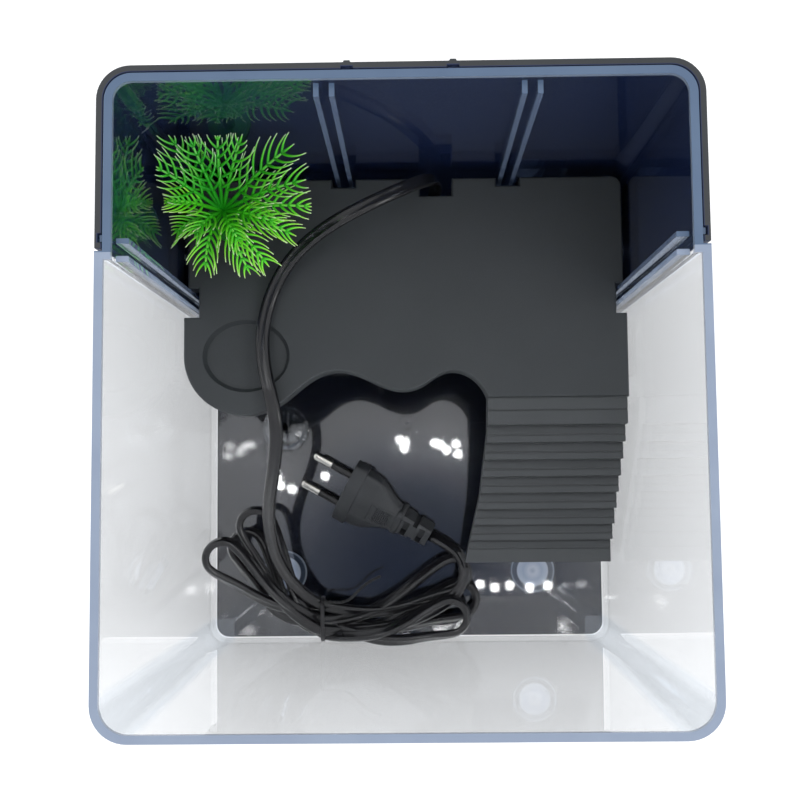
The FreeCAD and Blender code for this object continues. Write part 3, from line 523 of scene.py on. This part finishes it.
def body_points():
    """The body from the collar to the neck, with nine ribs and a sunk border pressed
    into both broad faces."""
    known_x = np.array([6.0, 11.0, 14.5, 17.5, 20.0, 22.5, 25.0, 27.0])
    half_w = np.interp(STATIONS, known_x, [16.1, 15.7, 14.6, 12.9, 11.0, 9.3, 7.9, 6.9])
    crease = np.interp(STATIONS, known_x, [6.2, 6.1, 6.0, 5.8, 5.5, 5.0, 4.4, 4.0])
    half_t = np.interp(STATIONS, known_x, [6.2, 6.2, 6.15, 6.0, 5.8, 5.6, 5.3, 5.1])
    edge_t = np.interp(STATIONS, known_x, [2.9, 2.9, 2.6, 2.2, 1.9, 1.9, 2.2, 2.6])
    points = eight_sided(-STATIONS, *(soft(q) for q in (half_w, crease, half_t, edge_t)))
    along, y, z = -points[..., 0], points[..., 1], points[..., 2]
    in_patch = window(along, 16.6, 24.7, 0.25) * window(y, -4.3, 4.3, 0.25)
    ribs = 0.5 - 0.5 * np.cos((along - 16.6) / 0.9 * 2 * math.pi)
    border = window(along, 14.2, 25.2, 0.2) * window(y, -5.2, 5.2, 0.2)
    border = border * (1 - window(along, 14.8, 26.5, 0.2) * window(y, -4.6, 4.6, 0.2))
    depth = 0.42 * in_patch * (1 - ribs) + 0.3 * border
    points[..., 2] = z - np.sign(z) * depth * (np.abs(z) > 3.0)
    return points


def soft(values):
    return smooth(values[:, None], 4)[:, 0]


def window(values, low, high, blur):
    """1 between low and high, 0 outside, with a straight slope of width blur."""
    return np.clip((values - low) / blur, 0, 1) * np.clip((high - values) / blur, 0, 1)


STATIONS = np.r_[np.linspace(6.0, 14.0, 18, endpoint=False),
                 np.linspace(14.0, 25.5, 110, endpoint=False), np.linspace(25.5, 27.0, 6)]
plug_grey = moulded("plug_rubber", (0.022, 0.024, 0.027), (0.036, 0.039, 0.043), (0.42, 0.6),
                    grain=2200.0, grain_strength=0.2, drift=60.0)
collar = grid_mesh("plug_collar", place_plug(collar_points()))
neck_x = -np.array([26.4, 26.4, 26.7, 29.3, 29.6, 29.6])
neck_in = np.array([0.9, 0.5, 0.0, 0.0, 0.5, 0.9])
neck = eight_sided(neck_x, 7.0 - neck_in, 5.4 - neck_in, 5.3 - neck_in, 3.6 - neck_in)
plug_parts = [piece("plug_collar", collar, "platform", plug_grey),
              piece("plug_grip_body", grid_mesh("plug_grip_body", place_plug(body_points())),
                    "platform", plug_grey),
              piece("plug_neck", grid_mesh("plug_neck", place_plug(neck)), "platform",
                    plug_grey)]
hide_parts("plug_body")
print("plug pieces:", [p.name for p in plug_parts])

# %% [markdown]
# ## Softened edges
# A CAD solid has knife edges, and a real moulding never has.  A merged copy of the
# solid's mesh with a narrow Bevel catches the light along its edges as the real part
# does.  The copy stands in for the node, which stays hidden and untouched.

# %% Softened copies
def softened(node, width, body, material, angle=32.0, segments=2):
    """A copy of a node's mesh, doubles merged, flats dissolved, edges bevelled."""
    mesh = nodes[node].data.copy()
    work = bmesh.new()
    work.from_mesh(mesh)
    bmesh.ops.remove_doubles(work, verts=work.verts, dist=1e-6)
    bmesh.ops.dissolve_limit(work, angle_limit=math.radians(0.5), verts=work.verts,
                             edges=work.edges)
    work.to_mesh(mesh)
    work.free()
    mesh.name = node + "_soft"
    mesh.shade_smooth()
    obj = piece(node + "_soft", mesh, body, material)
    bevel = obj.modifiers.new("edges", "BEVEL")
    bevel.width = width * MM
    bevel.segments = segments
    bevel.limit_method = "ANGLE"
    bevel.angle_limit = math.radians(angle)
    # Weighted normals keep the broad faces flat: only the small facets shade round.
    flat_faces = obj.modifiers.new("flat_faces", "WEIGHTED_NORMAL")
    flat_faces.mode = "FACE_AREA"
    flat_faces.weight = 80
    flat_faces.keep_sharp = True
    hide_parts(node)
    return obj


relief = softened("plug_relief", 0.3, "platform", plug_grey)
print("softened", relief.name)

# %% The lead's length
print("cord declared, line", round(lead_length, 4), "m")

# %% [markdown]
# ## Pins
# Each pin is nickel-plated brass with a bare tip and a black sleeve over its root.  The
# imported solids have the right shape, so they only get finishes.

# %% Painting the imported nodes
def paint(material, slot, *names):
    for name in names:
        nodes[name].data.materials.clear()
        nodes[name].data.materials.append(material)


nickel = moulded("nickel_plate", (0.70, 0.68, 0.62), (0.80, 0.78, 0.73), (0.12, 0.24), metallic=1.0,
                 grain=3000.0, grain_strength=0.05)
sleeve_black = moulded("sleeve_gloss", (0.010, 0.010, 0.011), (0.016, 0.016, 0.017), (0.22, 0.32))
paint(nickel, "pin_nickel", "plug_pins")
paint(sleeve_black, "sleeve_black", "pin_sleeves")
print("pins painted")

# %% [markdown]
# ## The clear tub
# The tub is one clear moulding.  Seen through its open top, a wall's upper edge shows
# the whole depth of plastic below it and looks slate blue, and the faces look almost
# colourless.  One material does both: a clear plastic, and a satin blue that takes its
# place on the level edges near the rim, painted there in place of that depth of plastic.
# The ribs carry half of the same blue, painted the same way.  At the rear, in front of
# the black shell, the walls get a painted light blue cast and the edges a deeper navy:
# painted shade.  The front corners are a little paler and less clear.

# %% Tub material
RIM_Z = 0.183


def tub_material():
    material, tree, shader = new_material("clear_tub")
    links = tree.links
    where = tree.nodes.new("ShaderNodeTexCoord")
    place = tree.nodes.new("ShaderNodeSeparateXYZ")
    links.new(where.outputs["Object"], place.inputs["Vector"])
    facing = tree.nodes.new("ShaderNodeSeparateXYZ")
    geometry = tree.nodes.new("ShaderNodeNewGeometry")
    links.new(geometry.outputs["True Normal"], facing.inputs["Vector"])

    def math_node(operation, a, b=0.0, c=0.0):
        node = tree.nodes.new("ShaderNodeMath")
        node.operation = operation
        node.use_clamp = operation in ("SUBTRACT", "ADD", "MULTIPLY")
        for value, socket in zip((a, b, c), node.inputs):
            if isinstance(value, float):
                socket.default_value = value
            else:
                links.new(value, socket)
        return node.outputs[0]

    def mix(fac, a, b):
        node = tree.nodes.new("ShaderNodeMix")
        node.data_type = "RGBA"
        links.new(fac, node.inputs["Factor"])
        for value, socket in ((a, node.inputs["A"]), (b, node.inputs["B"])):
            if isinstance(value, tuple):
                socket.default_value = (*value, 1.0)
            else:
                links.new(value, socket)
        return node.outputs["Result"]

    # the rim's level edges get a satin blue painted in place of the depth of plastic below them
    high = math_node("GREATER_THAN", place.outputs["Z"], RIM_Z - 0.006)
    level = math_node("GREATER_THAN", facing.outputs["Z"], 0.35)
    lip = math_node("GREATER_THAN", place.outputs["Z"], RIM_Z - 0.0016)
    edge = math_node("MAXIMUM", math_node("MULTIPLY", high, level), math_node("MULTIPLY", lip, 0.7))
    x = math_node("ABSOLUTE", place.outputs["X"])
    rear_rib = math_node("MULTIPLY", math_node("COMPARE", place.outputs["Y"], 0.09525, 0.00115),
                         math_node("LESS_THAN", x, 0.06))
    side_rib = math_node("MULTIPLY", math_node("COMPARE", x, 0.0863, 0.0012),
                         math_node("COMPARE", place.outputs["Y"], 0.046, 0.0042))
    corner = math_node("MULTIPLY", math_node("GREATER_THAN", x, 0.082),
                       math_node("LESS_THAN", place.outputs["Y"], -0.091))
    rib = math_node("ADD", rear_rib, side_rib)
    slow = noise(tree, 45.0, 3.0)
    # rear walls and edges, in front of the black shell: painted blue cast and painted shade
    rear = math_node("GREATER_THAN", place.outputs["Y"], 0.0446)
    pale = ramp(tree, slow, [(0.3, (0.27, 0.325, 0.435)), (0.7, (0.31, 0.37, 0.48))])
    # the rear edges' deeper navy is painted shade from the black shell behind them
    deep = ramp(tree, slow, [(0.3, (0.087, 0.139, 0.232)), (0.7, (0.104, 0.162, 0.259))])
    plain = mix(rear, (0.965, 0.972, 0.982), (0.74, 0.84, 0.985))
    plain = mix(corner, plain, (0.90, 0.935, 0.975))
    body = mix(rib, plain, (0.30, 0.40, 0.60))
    links.new(mix(edge, body, mix(rear, pale, deep)), shader.inputs["Base Color"])
    solid = math_node("MAXIMUM", edge, math_node("MULTIPLY", rib, 0.38))
    solid = math_node("MAXIMUM", solid, math_node("MULTIPLY", corner, 0.06))
    links.new(math_node("SUBTRACT", 1.0, solid), shader.inputs["Transmission Weight"])
    links.new(remap(tree, noise(tree, 700.0, 2.0), 0.012, 0.05), shader.inputs["Roughness"])
    shader.inputs["IOR"].default_value = 1.03
    shader.inputs["Coat Weight"].default_value = 1.0
    shader.inputs["Coat Roughness"].default_value = 0.03
    shader.inputs["Coat IOR"].default_value = 1.55
    bump(tree, shader, [(noise(tree, 38.0, 2.0), 0.012), (noise(tree, 150.0, 2.0), 0.005)], 0.002)
    return material


clear_tub = tub_material()
tub = softened("tub", 0.35, "tub", clear_tub, angle=40.0)
print("tub", len(tub.data.polygons), "faces")

# %% [markdown]
# ## The black cradle, the deck and the ramp
# The tray is a glossy black and the back shell a satin one.  A painted blue cast turns
# the tray's black towards navy and the shell's faces towards the tank's middle deep
# navy, where the bluish tub stands in front of them.  The deck and ramp are a dark grey
# with a fine spark-eroded grain that scatters light.

# %% Black and grey mouldings
shell_black = moulded("shell_black_satin", (0.028, 0.031, 0.034), (0.038, 0.041, 0.044),
                      (0.42, 0.58), grain=1900.0, grain_strength=0.22)


def paint_navy_cast_inside(material):
    """Painted blue cast: deep navy on faces that look towards the tank's middle, where the
    bluish tub stands in front of them and tints their light: there the place . normal
    product, level parts only, is below zero."""
    tree = material.node_tree
    shader = tree.nodes["Principled BSDF"]
    plain = shader.inputs["Base Color"].links[0].from_socket
    where = tree.nodes.new("ShaderNodeTexCoord")
    level = tree.nodes.new("ShaderNodeVectorMath")
    level.operation = "MULTIPLY"
    level.inputs[1].default_value = (1.0, 1.0, 0.0)
    tree.links.new(where.outputs["Object"], level.inputs[0])
    product = tree.nodes.new("ShaderNodeVectorMath")
    product.operation = "DOT_PRODUCT"
    tree.links.new(level.outputs["Vector"], product.inputs[0])
    geometry = tree.nodes.new("ShaderNodeNewGeometry")
    tree.links.new(geometry.outputs["True Normal"], product.inputs[1])
    inside = tree.nodes.new("ShaderNodeMath")
    inside.operation = "LESS_THAN"
    inside.inputs[1].default_value = -0.02
    tree.links.new(product.outputs["Value"], inside.inputs[0])
    blend = tree.nodes.new("ShaderNodeMix")
    blend.data_type = "RGBA"
    blend.inputs["B"].default_value = (0.016, 0.026, 0.072, 1.0)
    tree.links.new(inside.outputs["Value"], blend.inputs["Factor"])
    tree.links.new(plain, blend.inputs["A"])
    tree.links.new(blend.outputs["Result"], shader.inputs["Base Color"])


# painted blue cast on the shell's faces towards the tank's middle
paint_navy_cast_inside(shell_black)
# the tray's black leans to navy: a painted blue cast of the bluish tub above it
tray_gloss = moulded("tray_black_gloss", (0.004, 0.006, 0.013), (0.008, 0.011, 0.021),
                     (0.12, 0.2), grain=1500.0, grain_strength=0.02, drift=14.0)
ramp_grey = moulded("ramp_satin", (0.044, 0.049, 0.052), (0.056, 0.061, 0.065),
                    (0.42, 0.56), grain=2300.0, grain_strength=0.25, drift=18.0)
deck_grey = moulded("deck_fine_grain", (0.030, 0.035, 0.038), (0.038, 0.043, 0.047),
                    (0.5, 0.66), grain=2300.0, grain_strength=0.3, drift=18.0)
shell = softened("back_shell", 0.3, "cradle", shell_black)
tray = softened("base_tray", 0.2, "cradle", tray_gloss)
deck = softened("deck", 0.3, "platform", deck_grey, angle=35.0)
paint(ramp_grey, "deck_grey", "ramp")
paint(deck_grey, "deck_grey", "support_saddles", "support_posts")
print("cradle and deck:", [o.name for o in (shell, tray, deck)])

# %% [markdown]
# ## Clear feet and suction cups
# Four clear feet are pressed through the tray.  Seen from above through the tub's
# floor they gather light from the table and look like pale blue discs; that light, the
# shade round it and a highlight on the lip are painted into the feet's colour as rings.
# The suction cups below the deck are a softer clear vinyl.

# %% Feet, cups and their bar
FOOT_X, FOOT_Y, FEET_MID_Y, FLANGE_R = 0.0582, 0.069, -0.001, 0.0104


def paint_foot_light_rings(material):
    """Painted light and shade in rings, by the distance to the foot's middle: a pale stem
    for the table's light seen through it, a darker flange for the shade below it and a
    thin light lip as a painted highlight.  The distance is
    sqrt((|x| - 58.2)^2 + (|y + 1| - 69)^2), the same for all four feet."""
    tree = material.node_tree
    where = tree.nodes.new("ShaderNodeTexCoord")
    shift = tree.nodes.new("ShaderNodeVectorMath")
    shift.operation = "SUBTRACT"
    shift.inputs[1].default_value = (0.0, FEET_MID_Y, 0.0)
    tree.links.new(where.outputs["Object"], shift.inputs[0])
    fold = tree.nodes.new("ShaderNodeVectorMath")
    fold.operation = "ABSOLUTE"
    tree.links.new(shift.outputs["Vector"], fold.inputs[0])
    centre = tree.nodes.new("ShaderNodeVectorMath")
    centre.operation = "SUBTRACT"
    centre.inputs[1].default_value = (FOOT_X, FOOT_Y, 0.0)
    tree.links.new(fold.outputs["Vector"], centre.inputs[0])
    level = tree.nodes.new("ShaderNodeVectorMath")
    level.operation = "MULTIPLY"
    level.inputs[1].default_value = (1 / FLANGE_R, 1 / FLANGE_R, 0.0)
    tree.links.new(centre.outputs["Vector"], level.inputs[0])
    radius = tree.nodes.new("ShaderNodeVectorMath")
    radius.operation = "LENGTH"
    tree.links.new(level.outputs["Vector"], radius.inputs[0])
    # painted light through the stem, painted shade in the flange, painted highlight on the lip
    colour = ramp(tree, radius.outputs["Value"],
                  [(0.0, (0.50, 0.58, 0.72)), (0.18, (0.78, 0.84, 0.94)),
                   (0.42, (0.52, 0.61, 0.78)), (0.68, (0.70, 0.78, 0.90)),
                   (0.73, (0.06, 0.08, 0.12)), (0.90, (0.09, 0.12, 0.17)),
                   (0.95, (0.45, 0.52, 0.62)), (1.0, (0.12, 0.15, 0.2))])
    tree.links.new(colour, tree.nodes["Principled BSDF"].inputs["Base Color"])


foot_clear_painted_light = clear("foot_clear_painted_light", (0.72, 0.80, 0.93), 0.12, ior=1.2, weight=0.3, ripple=0.1)
paint_foot_light_rings(foot_clear_painted_light)
soft_vinyl = clear("soft_vinyl", (0.93, 0.95, 0.97), 0.06, ior=1.25)
bar_clear = clear("bar_clear", (0.95, 0.96, 0.98), 0.03, ior=1.06)
feet = softened("clear_feet", 0.25, "cradle", foot_clear_painted_light)
paint(soft_vinyl, "clear_vinyl", "suction_cups")
paint(bar_clear, "clear_plastic", "cup_bar")
print("softened", feet.name, "and painted the cups and their bar")

# %% [markdown]
# ## The heater
# Below the deck: a glass tube in a slotted guard, with the winding on its ceramic rod,
# the thermostat's board, strip and lamp, a black head with its gland, and the dial on
# its brass spindle.  They are hidden from above and seen from the sides.

# %% Heater finishes
heater_black = moulded("heater_black_satin", (0.018, 0.018, 0.020), (0.03, 0.03, 0.033),
                       (0.35, 0.5))
rubber_black = moulded("soft_rubber", (0.020, 0.020, 0.020), (0.032, 0.032, 0.032), (0.6, 0.8),
                       grain_strength=0.25)
glass_clear = clear("heater_glass", (0.95, 0.975, 0.98), 0.01, ior=1.05)
ceramic = moulded("ceramic_white", (0.74, 0.72, 0.67), (0.83, 0.81, 0.76), (0.55, 0.75))
wire_steel = moulded("element_wire", (0.42, 0.40, 0.38), (0.55, 0.53, 0.5), (0.25, 0.4),
                     metallic=1.0)
board_green = moulded("board_green", (0.02, 0.15, 0.06), (0.035, 0.21, 0.09), (0.3, 0.5))
brass = moulded("brass_parts", (0.66, 0.48, 0.22), (0.78, 0.60, 0.30), (0.2, 0.35), metallic=1.0)
lamp_glass = clear("lamp_glass", (0.95, 0.42, 0.28), 0.03, ior=1.2)
dial_grey = moulded("dial_grey", (0.27, 0.28, 0.30), (0.37, 0.38, 0.40), (0.4, 0.55))
paint(heater_black, "heater_black", "heater_guard", "heater_head", "gland_nut")
paint(rubber_black, "soft_rubber", "end_bumper", "tube_seal", "strain_relief")
paint(glass_clear, "heater_glass", "glass_tube")
paint(ceramic, "ceramic_white", "ceramic_former")
paint(wire_steel, "element_wire", "heating_element", "element_leads")
paint(board_green, "board_green", "circuit_board")
paint(brass, "brass_parts", "bimetal_strip", "contact_posts", "dial_spindle")
paint(lamp_glass, "lamp_glass", "indicator_lamp")
paint(dial_grey, "dial_grey", "temperature_dial", "scale_ring")
print("heater painted")

# %% [markdown]
# ## The plant
# A soft plastic water plant: feathery fronds rise and droop from one crown, and each
# has a row of fine pointed leaflets on either side.  A frond is a quadratic curve from
# the crown to its tip, and a leaflet a smaller curve that leaves it at about 50
# degrees and bends forwards.  All leaflets share one array, so hundreds are made at
# once.  The UV map holds how far along a leaflet a point is, and how lime its frond is.

# %% Fronds and leaflets
CROWN = np.array([-69.2, 76.8, 106.0])
WALLS = (np.array([-87.2, 50.6, 90.0]), np.array([-33.6, 95.9, 141.4]))
# Each frond: tip x, y, z, rise of its arch, length of its leaflets, pairs, lime share.
FRONDS = [(-65.4, 95.4, 137.5, 5, 15.0, 6, 0.25), (-81.2, 94.0, 137.0, 5, 14.5, 6, 0.2),
          (-86.2, 84.5, 137.0, 6, 13.5, 6, 0.25), (-86.6, 75.4, 126.0, 12, 10.5, 8, 0.95),
          (-84.6, 67.5, 115.0, 8, 9.5, 7, 0.7), (-74.8, 55.6, 111.0, 14, 10.5, 7, 0.85),
          (-59.5, 54.4, 109.5, 14, 10.5, 7, 0.8), (-52.6, 56.4, 112.0, 11, 9.5, 7, 0.95),
          (-43.4, 66.6, 114.0, 11, 10.5, 8, 0.9), (-35.2, 74.2, 122.0, 9, 11.0, 8, 0.75),
          (-38.6, 81.0, 130.0, 7, 12.0, 7, 0.5), (-42.0, 90.4, 136.0, 6, 14.5, 7, 0.4),
          (-57.4, 93.2, 138.5, 4, 13.5, 6, 0.35), (-74.2, 92.6, 138.5, 4, 13.0, 6, 0.15),
          (-62.0, 64.0, 116.0, 10, 8.5, 6, 0.7), (-77.0, 66.0, 117.0, 9, 8.5, 6, 0.6),
          (-49.0, 70.0, 118.0, 9, 9.0, 6, 0.7)]


def bezier(start, bend, end, t):
    """Quadratic curve: (1-t)^2 start + 2t(1-t) bend + t^2 end, for arrays of curves."""
    t = t[None, :, None]
    return (1 - t) ** 2 * start[:, None] + 2 * t * (1 - t) * bend[:, None] + t ** 2 * end[:, None]


def tapered(lines, thick, thin, count):
    """Tubes round many lines at once, thick at the root and thin at the tip."""
    tangent = unit(np.gradient(lines, axis=1))
    side = unit(np.cross(tangent, (0.31, 0.23, 0.92)))
    up = np.cross(side, tangent)
    a = np.linspace(0, 2 * math.pi, count, endpoint=False)
    steps = np.linspace(0, 1, lines.shape[1])
    radius = (thick[:, None] * (1 - steps) + thin[:, None] * steps)[..., None, None]
    ring = np.cos(a)[:, None] * side[:, :, None] + np.sin(a)[:, None] * up[:, :, None]
    return lines[:, :, None] + radius * ring


rng = np.random.default_rng(7)
tips = np.array([f[:3] for f in FRONDS])
rise = np.array([f[3] for f in FRONDS], float)
bends = CROWN * 0.45 + tips * 0.55
bends[:, 2] += rise
starts = np.broadcast_to(CROWN, tips.shape)
stem_lines = bezier(starts, bends, tips, np.linspace(0, 1, 18))
stems = tapered(stem_lines, np.full(len(tips), 0.85), np.full(len(tips), 0.42), 7)


def leaflets(line, length, pairs):
    """Roots, bends and tips of one frond's leaflets, both sides and one at the end."""
    at = np.linspace(0.3, 0.97, pairs)
    spot = at * (len(line) - 1)
    root = np.column_stack([np.interp(spot, np.arange(len(line)), line[:, k]) for k in range(3)])
    ahead = unit(np.gradient(line, axis=0))[np.round(spot).astype(int)]
    flat = unit(np.cross(ahead, (0, 0, 1.0)))
    lift = np.cross(flat, ahead)
    sides = np.repeat([-1.0, 1.0], pairs)[:, None]
    root, ahead, flat, lift = (np.tile(q, (2, 1)) for q in (root, ahead, flat, lift))
    size = 1.22 * length * (1 - 0.4 * np.tile(at, 2) ** 2) * rng.uniform(0.85, 1.12, 2 * pairs)
    spread = np.radians(rng.uniform(44, 58, 2 * pairs))
    raise_by = rng.uniform(0.0, 0.28, 2 * pairs)[:, None]
    out = np.cos(spread)[:, None] * ahead + np.sin(spread)[:, None] * flat * sides
    bend = root + 0.48 * size[:, None] * unit(out + raise_by * lift)
    inward = np.cos(spread * 0.22)[:, None] * ahead + np.sin(spread * 0.22)[:, None] * flat * sides
    tip = bend + 0.6 * size[:, None] * unit(inward + 0.6 * raise_by * lift)
    end = line[-1] + unit((line[-1] - line[-2])[None]) * length * 0.35
    root = np.vstack([root, line[-1:]])
    bend = np.vstack([bend, (line[-1:] + end) / 2])
    return root, bend, np.vstack([tip, end])


sets = [leaflets(stem_lines[k], FRONDS[k][4], FRONDS[k][5]) for k in range(len(FRONDS))]
roots, leaf_bends, leaf_tips = (np.vstack([s[q] for s in sets]) for q in range(3))
lime = np.concatenate([np.full(len(s[0]), FRONDS[k][6]) for k, s in enumerate(sets)])
lime = np.clip(lime + rng.uniform(-0.12, 0.12, len(lime)), 0, 1)
leaf_lines = bezier(roots, leaf_bends, leaf_tips, np.linspace(0, 1, 8))
reach = leaf_lines - roots[:, None]
room = np.where(reach > 0, WALLS[1] - roots[:, None], roots[:, None] - WALLS[0])
share = (np.abs(reach) / np.maximum(room, 0.5)).max(axis=(1, 2))
reach = reach / np.maximum(share, 1.0)[:, None, None]
leaf_lines = np.clip(roots[:, None] + reach, *WALLS)
leaves = tapered(leaf_lines, np.full(len(lime), 0.62), np.full(len(lime), 0.16), 6)


def along_values(tint, rows, low=0.0, high=1.0):
    steps = np.broadcast_to(np.linspace(low, high, rows), (len(tint), rows))
    return np.stack([steps, np.broadcast_to(tint[:, None], steps.shape)], -1)


# %% Frond finish
def frond_material():
    """Deep green at the root, full green along the leaflet and pale at the tip; the
    second UV number shifts the whole run towards lime."""
    material, tree, shader = new_material("frond_green")
    uv = tree.nodes.new("ShaderNodeUVMap")
    uv.uv_map = "along"
    split = tree.nodes.new("ShaderNodeSeparateXYZ")
    tree.links.new(uv.outputs["UV"], split.inputs["Vector"])
    cool = ramp(tree, split.outputs["X"],
                [(0.0, (0.006, 0.26, 0.010)), (0.4, (0.015, 0.45, 0.018)),
                 (0.78, (0.19, 0.72, 0.15)), (1.0, (0.66, 0.80, 0.60))])
    warm = ramp(tree, split.outputs["X"],
                [(0.0, (0.03, 0.55, 0.012)), (0.4, (0.18, 0.86, 0.02)),
                 (0.8, (0.42, 0.95, 0.08)), (1.0, (0.72, 0.95, 0.48))])
    blend = tree.nodes.new("ShaderNodeMix")
    blend.data_type = "RGBA"
    tree.links.new(split.outputs["Y"], blend.inputs["Factor"])
    tree.links.new(cool, blend.inputs["A"])
    tree.links.new(warm, blend.inputs["B"])
    tree.links.new(blend.outputs["Result"], shader.inputs["Base Color"])
    tree.links.new(remap(tree, noise(tree, 400.0), 0.3, 0.45), shader.inputs["Roughness"])
    shader.inputs["Subsurface Weight"].default_value = 0.15
    shader.inputs["Subsurface Radius"].default_value = (0.3, 1.0, 0.2)
    shader.inputs["Subsurface Scale"].default_value = 0.001
    bump(tree, shader, [(noise(tree, 1200.0), 0.1)], 0.0001)
    return material


frond_green = frond_material()
stem_lime = np.array([f[6] for f in FRONDS]) * 0.6
stem_mesh = grid_mesh("frond_stems", stems * MM, values=along_values(stem_lime, 18, 0.0, 0.7))
leaf_mesh = grid_mesh("frond_leaflets", leaves * MM, values=along_values(lime, 8))
frond_stems = piece("frond_stems", stem_mesh, "plant", frond_green)
frond_leaflets = piece("frond_leaflets", leaf_mesh, "plant", frond_green)
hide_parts("plant_fronds")
stalk_green = moulded("stalk_green", (0.010, 0.15, 0.012), (0.016, 0.24, 0.02), (0.35, 0.5))
paint(stalk_green, "plant_green", "plant_base", "plant_stem")
print("plant:", len(FRONDS), "fronds in", frond_stems.name, "and", len(lime), "leaflets")

# %% [markdown]
# ## Floor, light and world
# The tank stands on a plain pale table in even daylight.  The table glows faintly, so
# that light comes through the clear walls from below as well.  A broad soft lamp hangs
# high on the right, with a weaker one on the left behind.  Small lamps overhead only
# leave the little bright sparks that a glossy floor shows.  The world is white, with a
# darker patch straight above, where in a real studio the camera hides the ceiling.

# %% Table, lamps and world
bpy.ops.mesh.primitive_plane_add(size=6.0, location=(0, 0, -0.0004))
table = bpy.context.object
table.name = "pale_table"
table_white, tree, shader = new_material("table_white")
white = ramp(tree, noise(tree, 3.0), [(0.3, (0.88, 0.88, 0.875)), (0.7, (0.90, 0.90, 0.895))])
tree.links.new(white, shader.inputs["Base Color"])
shader.inputs["Roughness"].default_value = 0.9
shader.inputs["Specular IOR Level"].default_value = 0.1
shader.inputs["Emission Color"].default_value = (1.0, 1.0, 0.99, 1.0)
shader.inputs["Emission Strength"].default_value = 0.36
table.data.materials.append(table_white)


def area_lamp(name, place, target, size, power):
    data = bpy.data.lights.new(name, "AREA")
    data.shape = "DISK"
    data.size = size
    data.energy = power
    lamp = bpy.data.objects.new(name, data)
    lamp.location = place
    lamp.rotation_euler = (Vector(target) - Vector(place)).to_track_quat("-Z", "Y").to_euler()
    bpy.context.scene.collection.objects.link(lamp)
    return lamp


area_lamp("soft_left", (-1.3, 0.9, 1.9), (0, 0, 0.05), 0.7, 4.0)
area_lamp("soft_right", (1.5, -0.7, 1.8), (0, 0, 0.05), 0.9, 8.0)
SPARK_HEIGHT = 1.05       # metres above the table
FLOOR_TOP = 0.006         # height of the glossy floor that mirrors the sparks
SPARK_PLACES = [(-3.5, -8.1), (-1.0, -9.4), (13.1, -9.7), (16.0, -10.6), (23.0, -10.2),
                (23.8, -15.0), (-39.0, -24.7), (-54.7, -30.7), (-63.0, -21.0),
                (-61.5, -25.5), (-60.0, -29.0), (33.2, -76.0), (40.2, -77.5), (47.2, -76.5),
                (56.5, -77.6), (64.9, -76.8), (72.8, -77.4), (81.0, -76.6), (-1.5, -12.0),
                (18.5, -13.0)]
for k, (x, y) in enumerate(SPARK_PLACES):
    spot = np.array([x, y]) * MM
    away = (spot - CAMERA_PLACE[:2]) * (SPARK_HEIGHT - FLOOR_TOP) / (CAMERA_PLACE[2] - FLOOR_TOP)
    area_lamp("spark_%02d" % k, (*(spot + away), SPARK_HEIGHT), (*spot, 0.0), 0.012, 0.012)

world = bpy.data.worlds.new("white_room")
world.use_nodes = True
bpy.context.scene.world = world
tree = world.node_tree
where = tree.nodes.new("ShaderNodeTexCoord")
dot = tree.nodes.new("ShaderNodeVectorMath")
dot.operation = "DOT_PRODUCT"
dot.inputs[1].default_value = Vector((-0.010, -0.100, 0.995)).normalized()
tree.links.new(where.outputs["Generated"], dot.inputs[0])
patch = ramp(tree, dot.outputs["Value"],
             [(0.0, (0.95, 0.97, 1.0)), (0.988, (0.95, 0.97, 1.0)),
              (0.9935, (0.55, 0.60, 0.70)), (0.9975, (0.07, 0.10, 0.19))])
tree.links.new(patch, tree.nodes["Background"].inputs["Color"])
tree.nodes["Background"].inputs["Strength"].default_value = 0.98
bpy.context.scene.view_settings.view_transform = "Standard"
print("lamps", len(SPARK_PLACES) + 2)
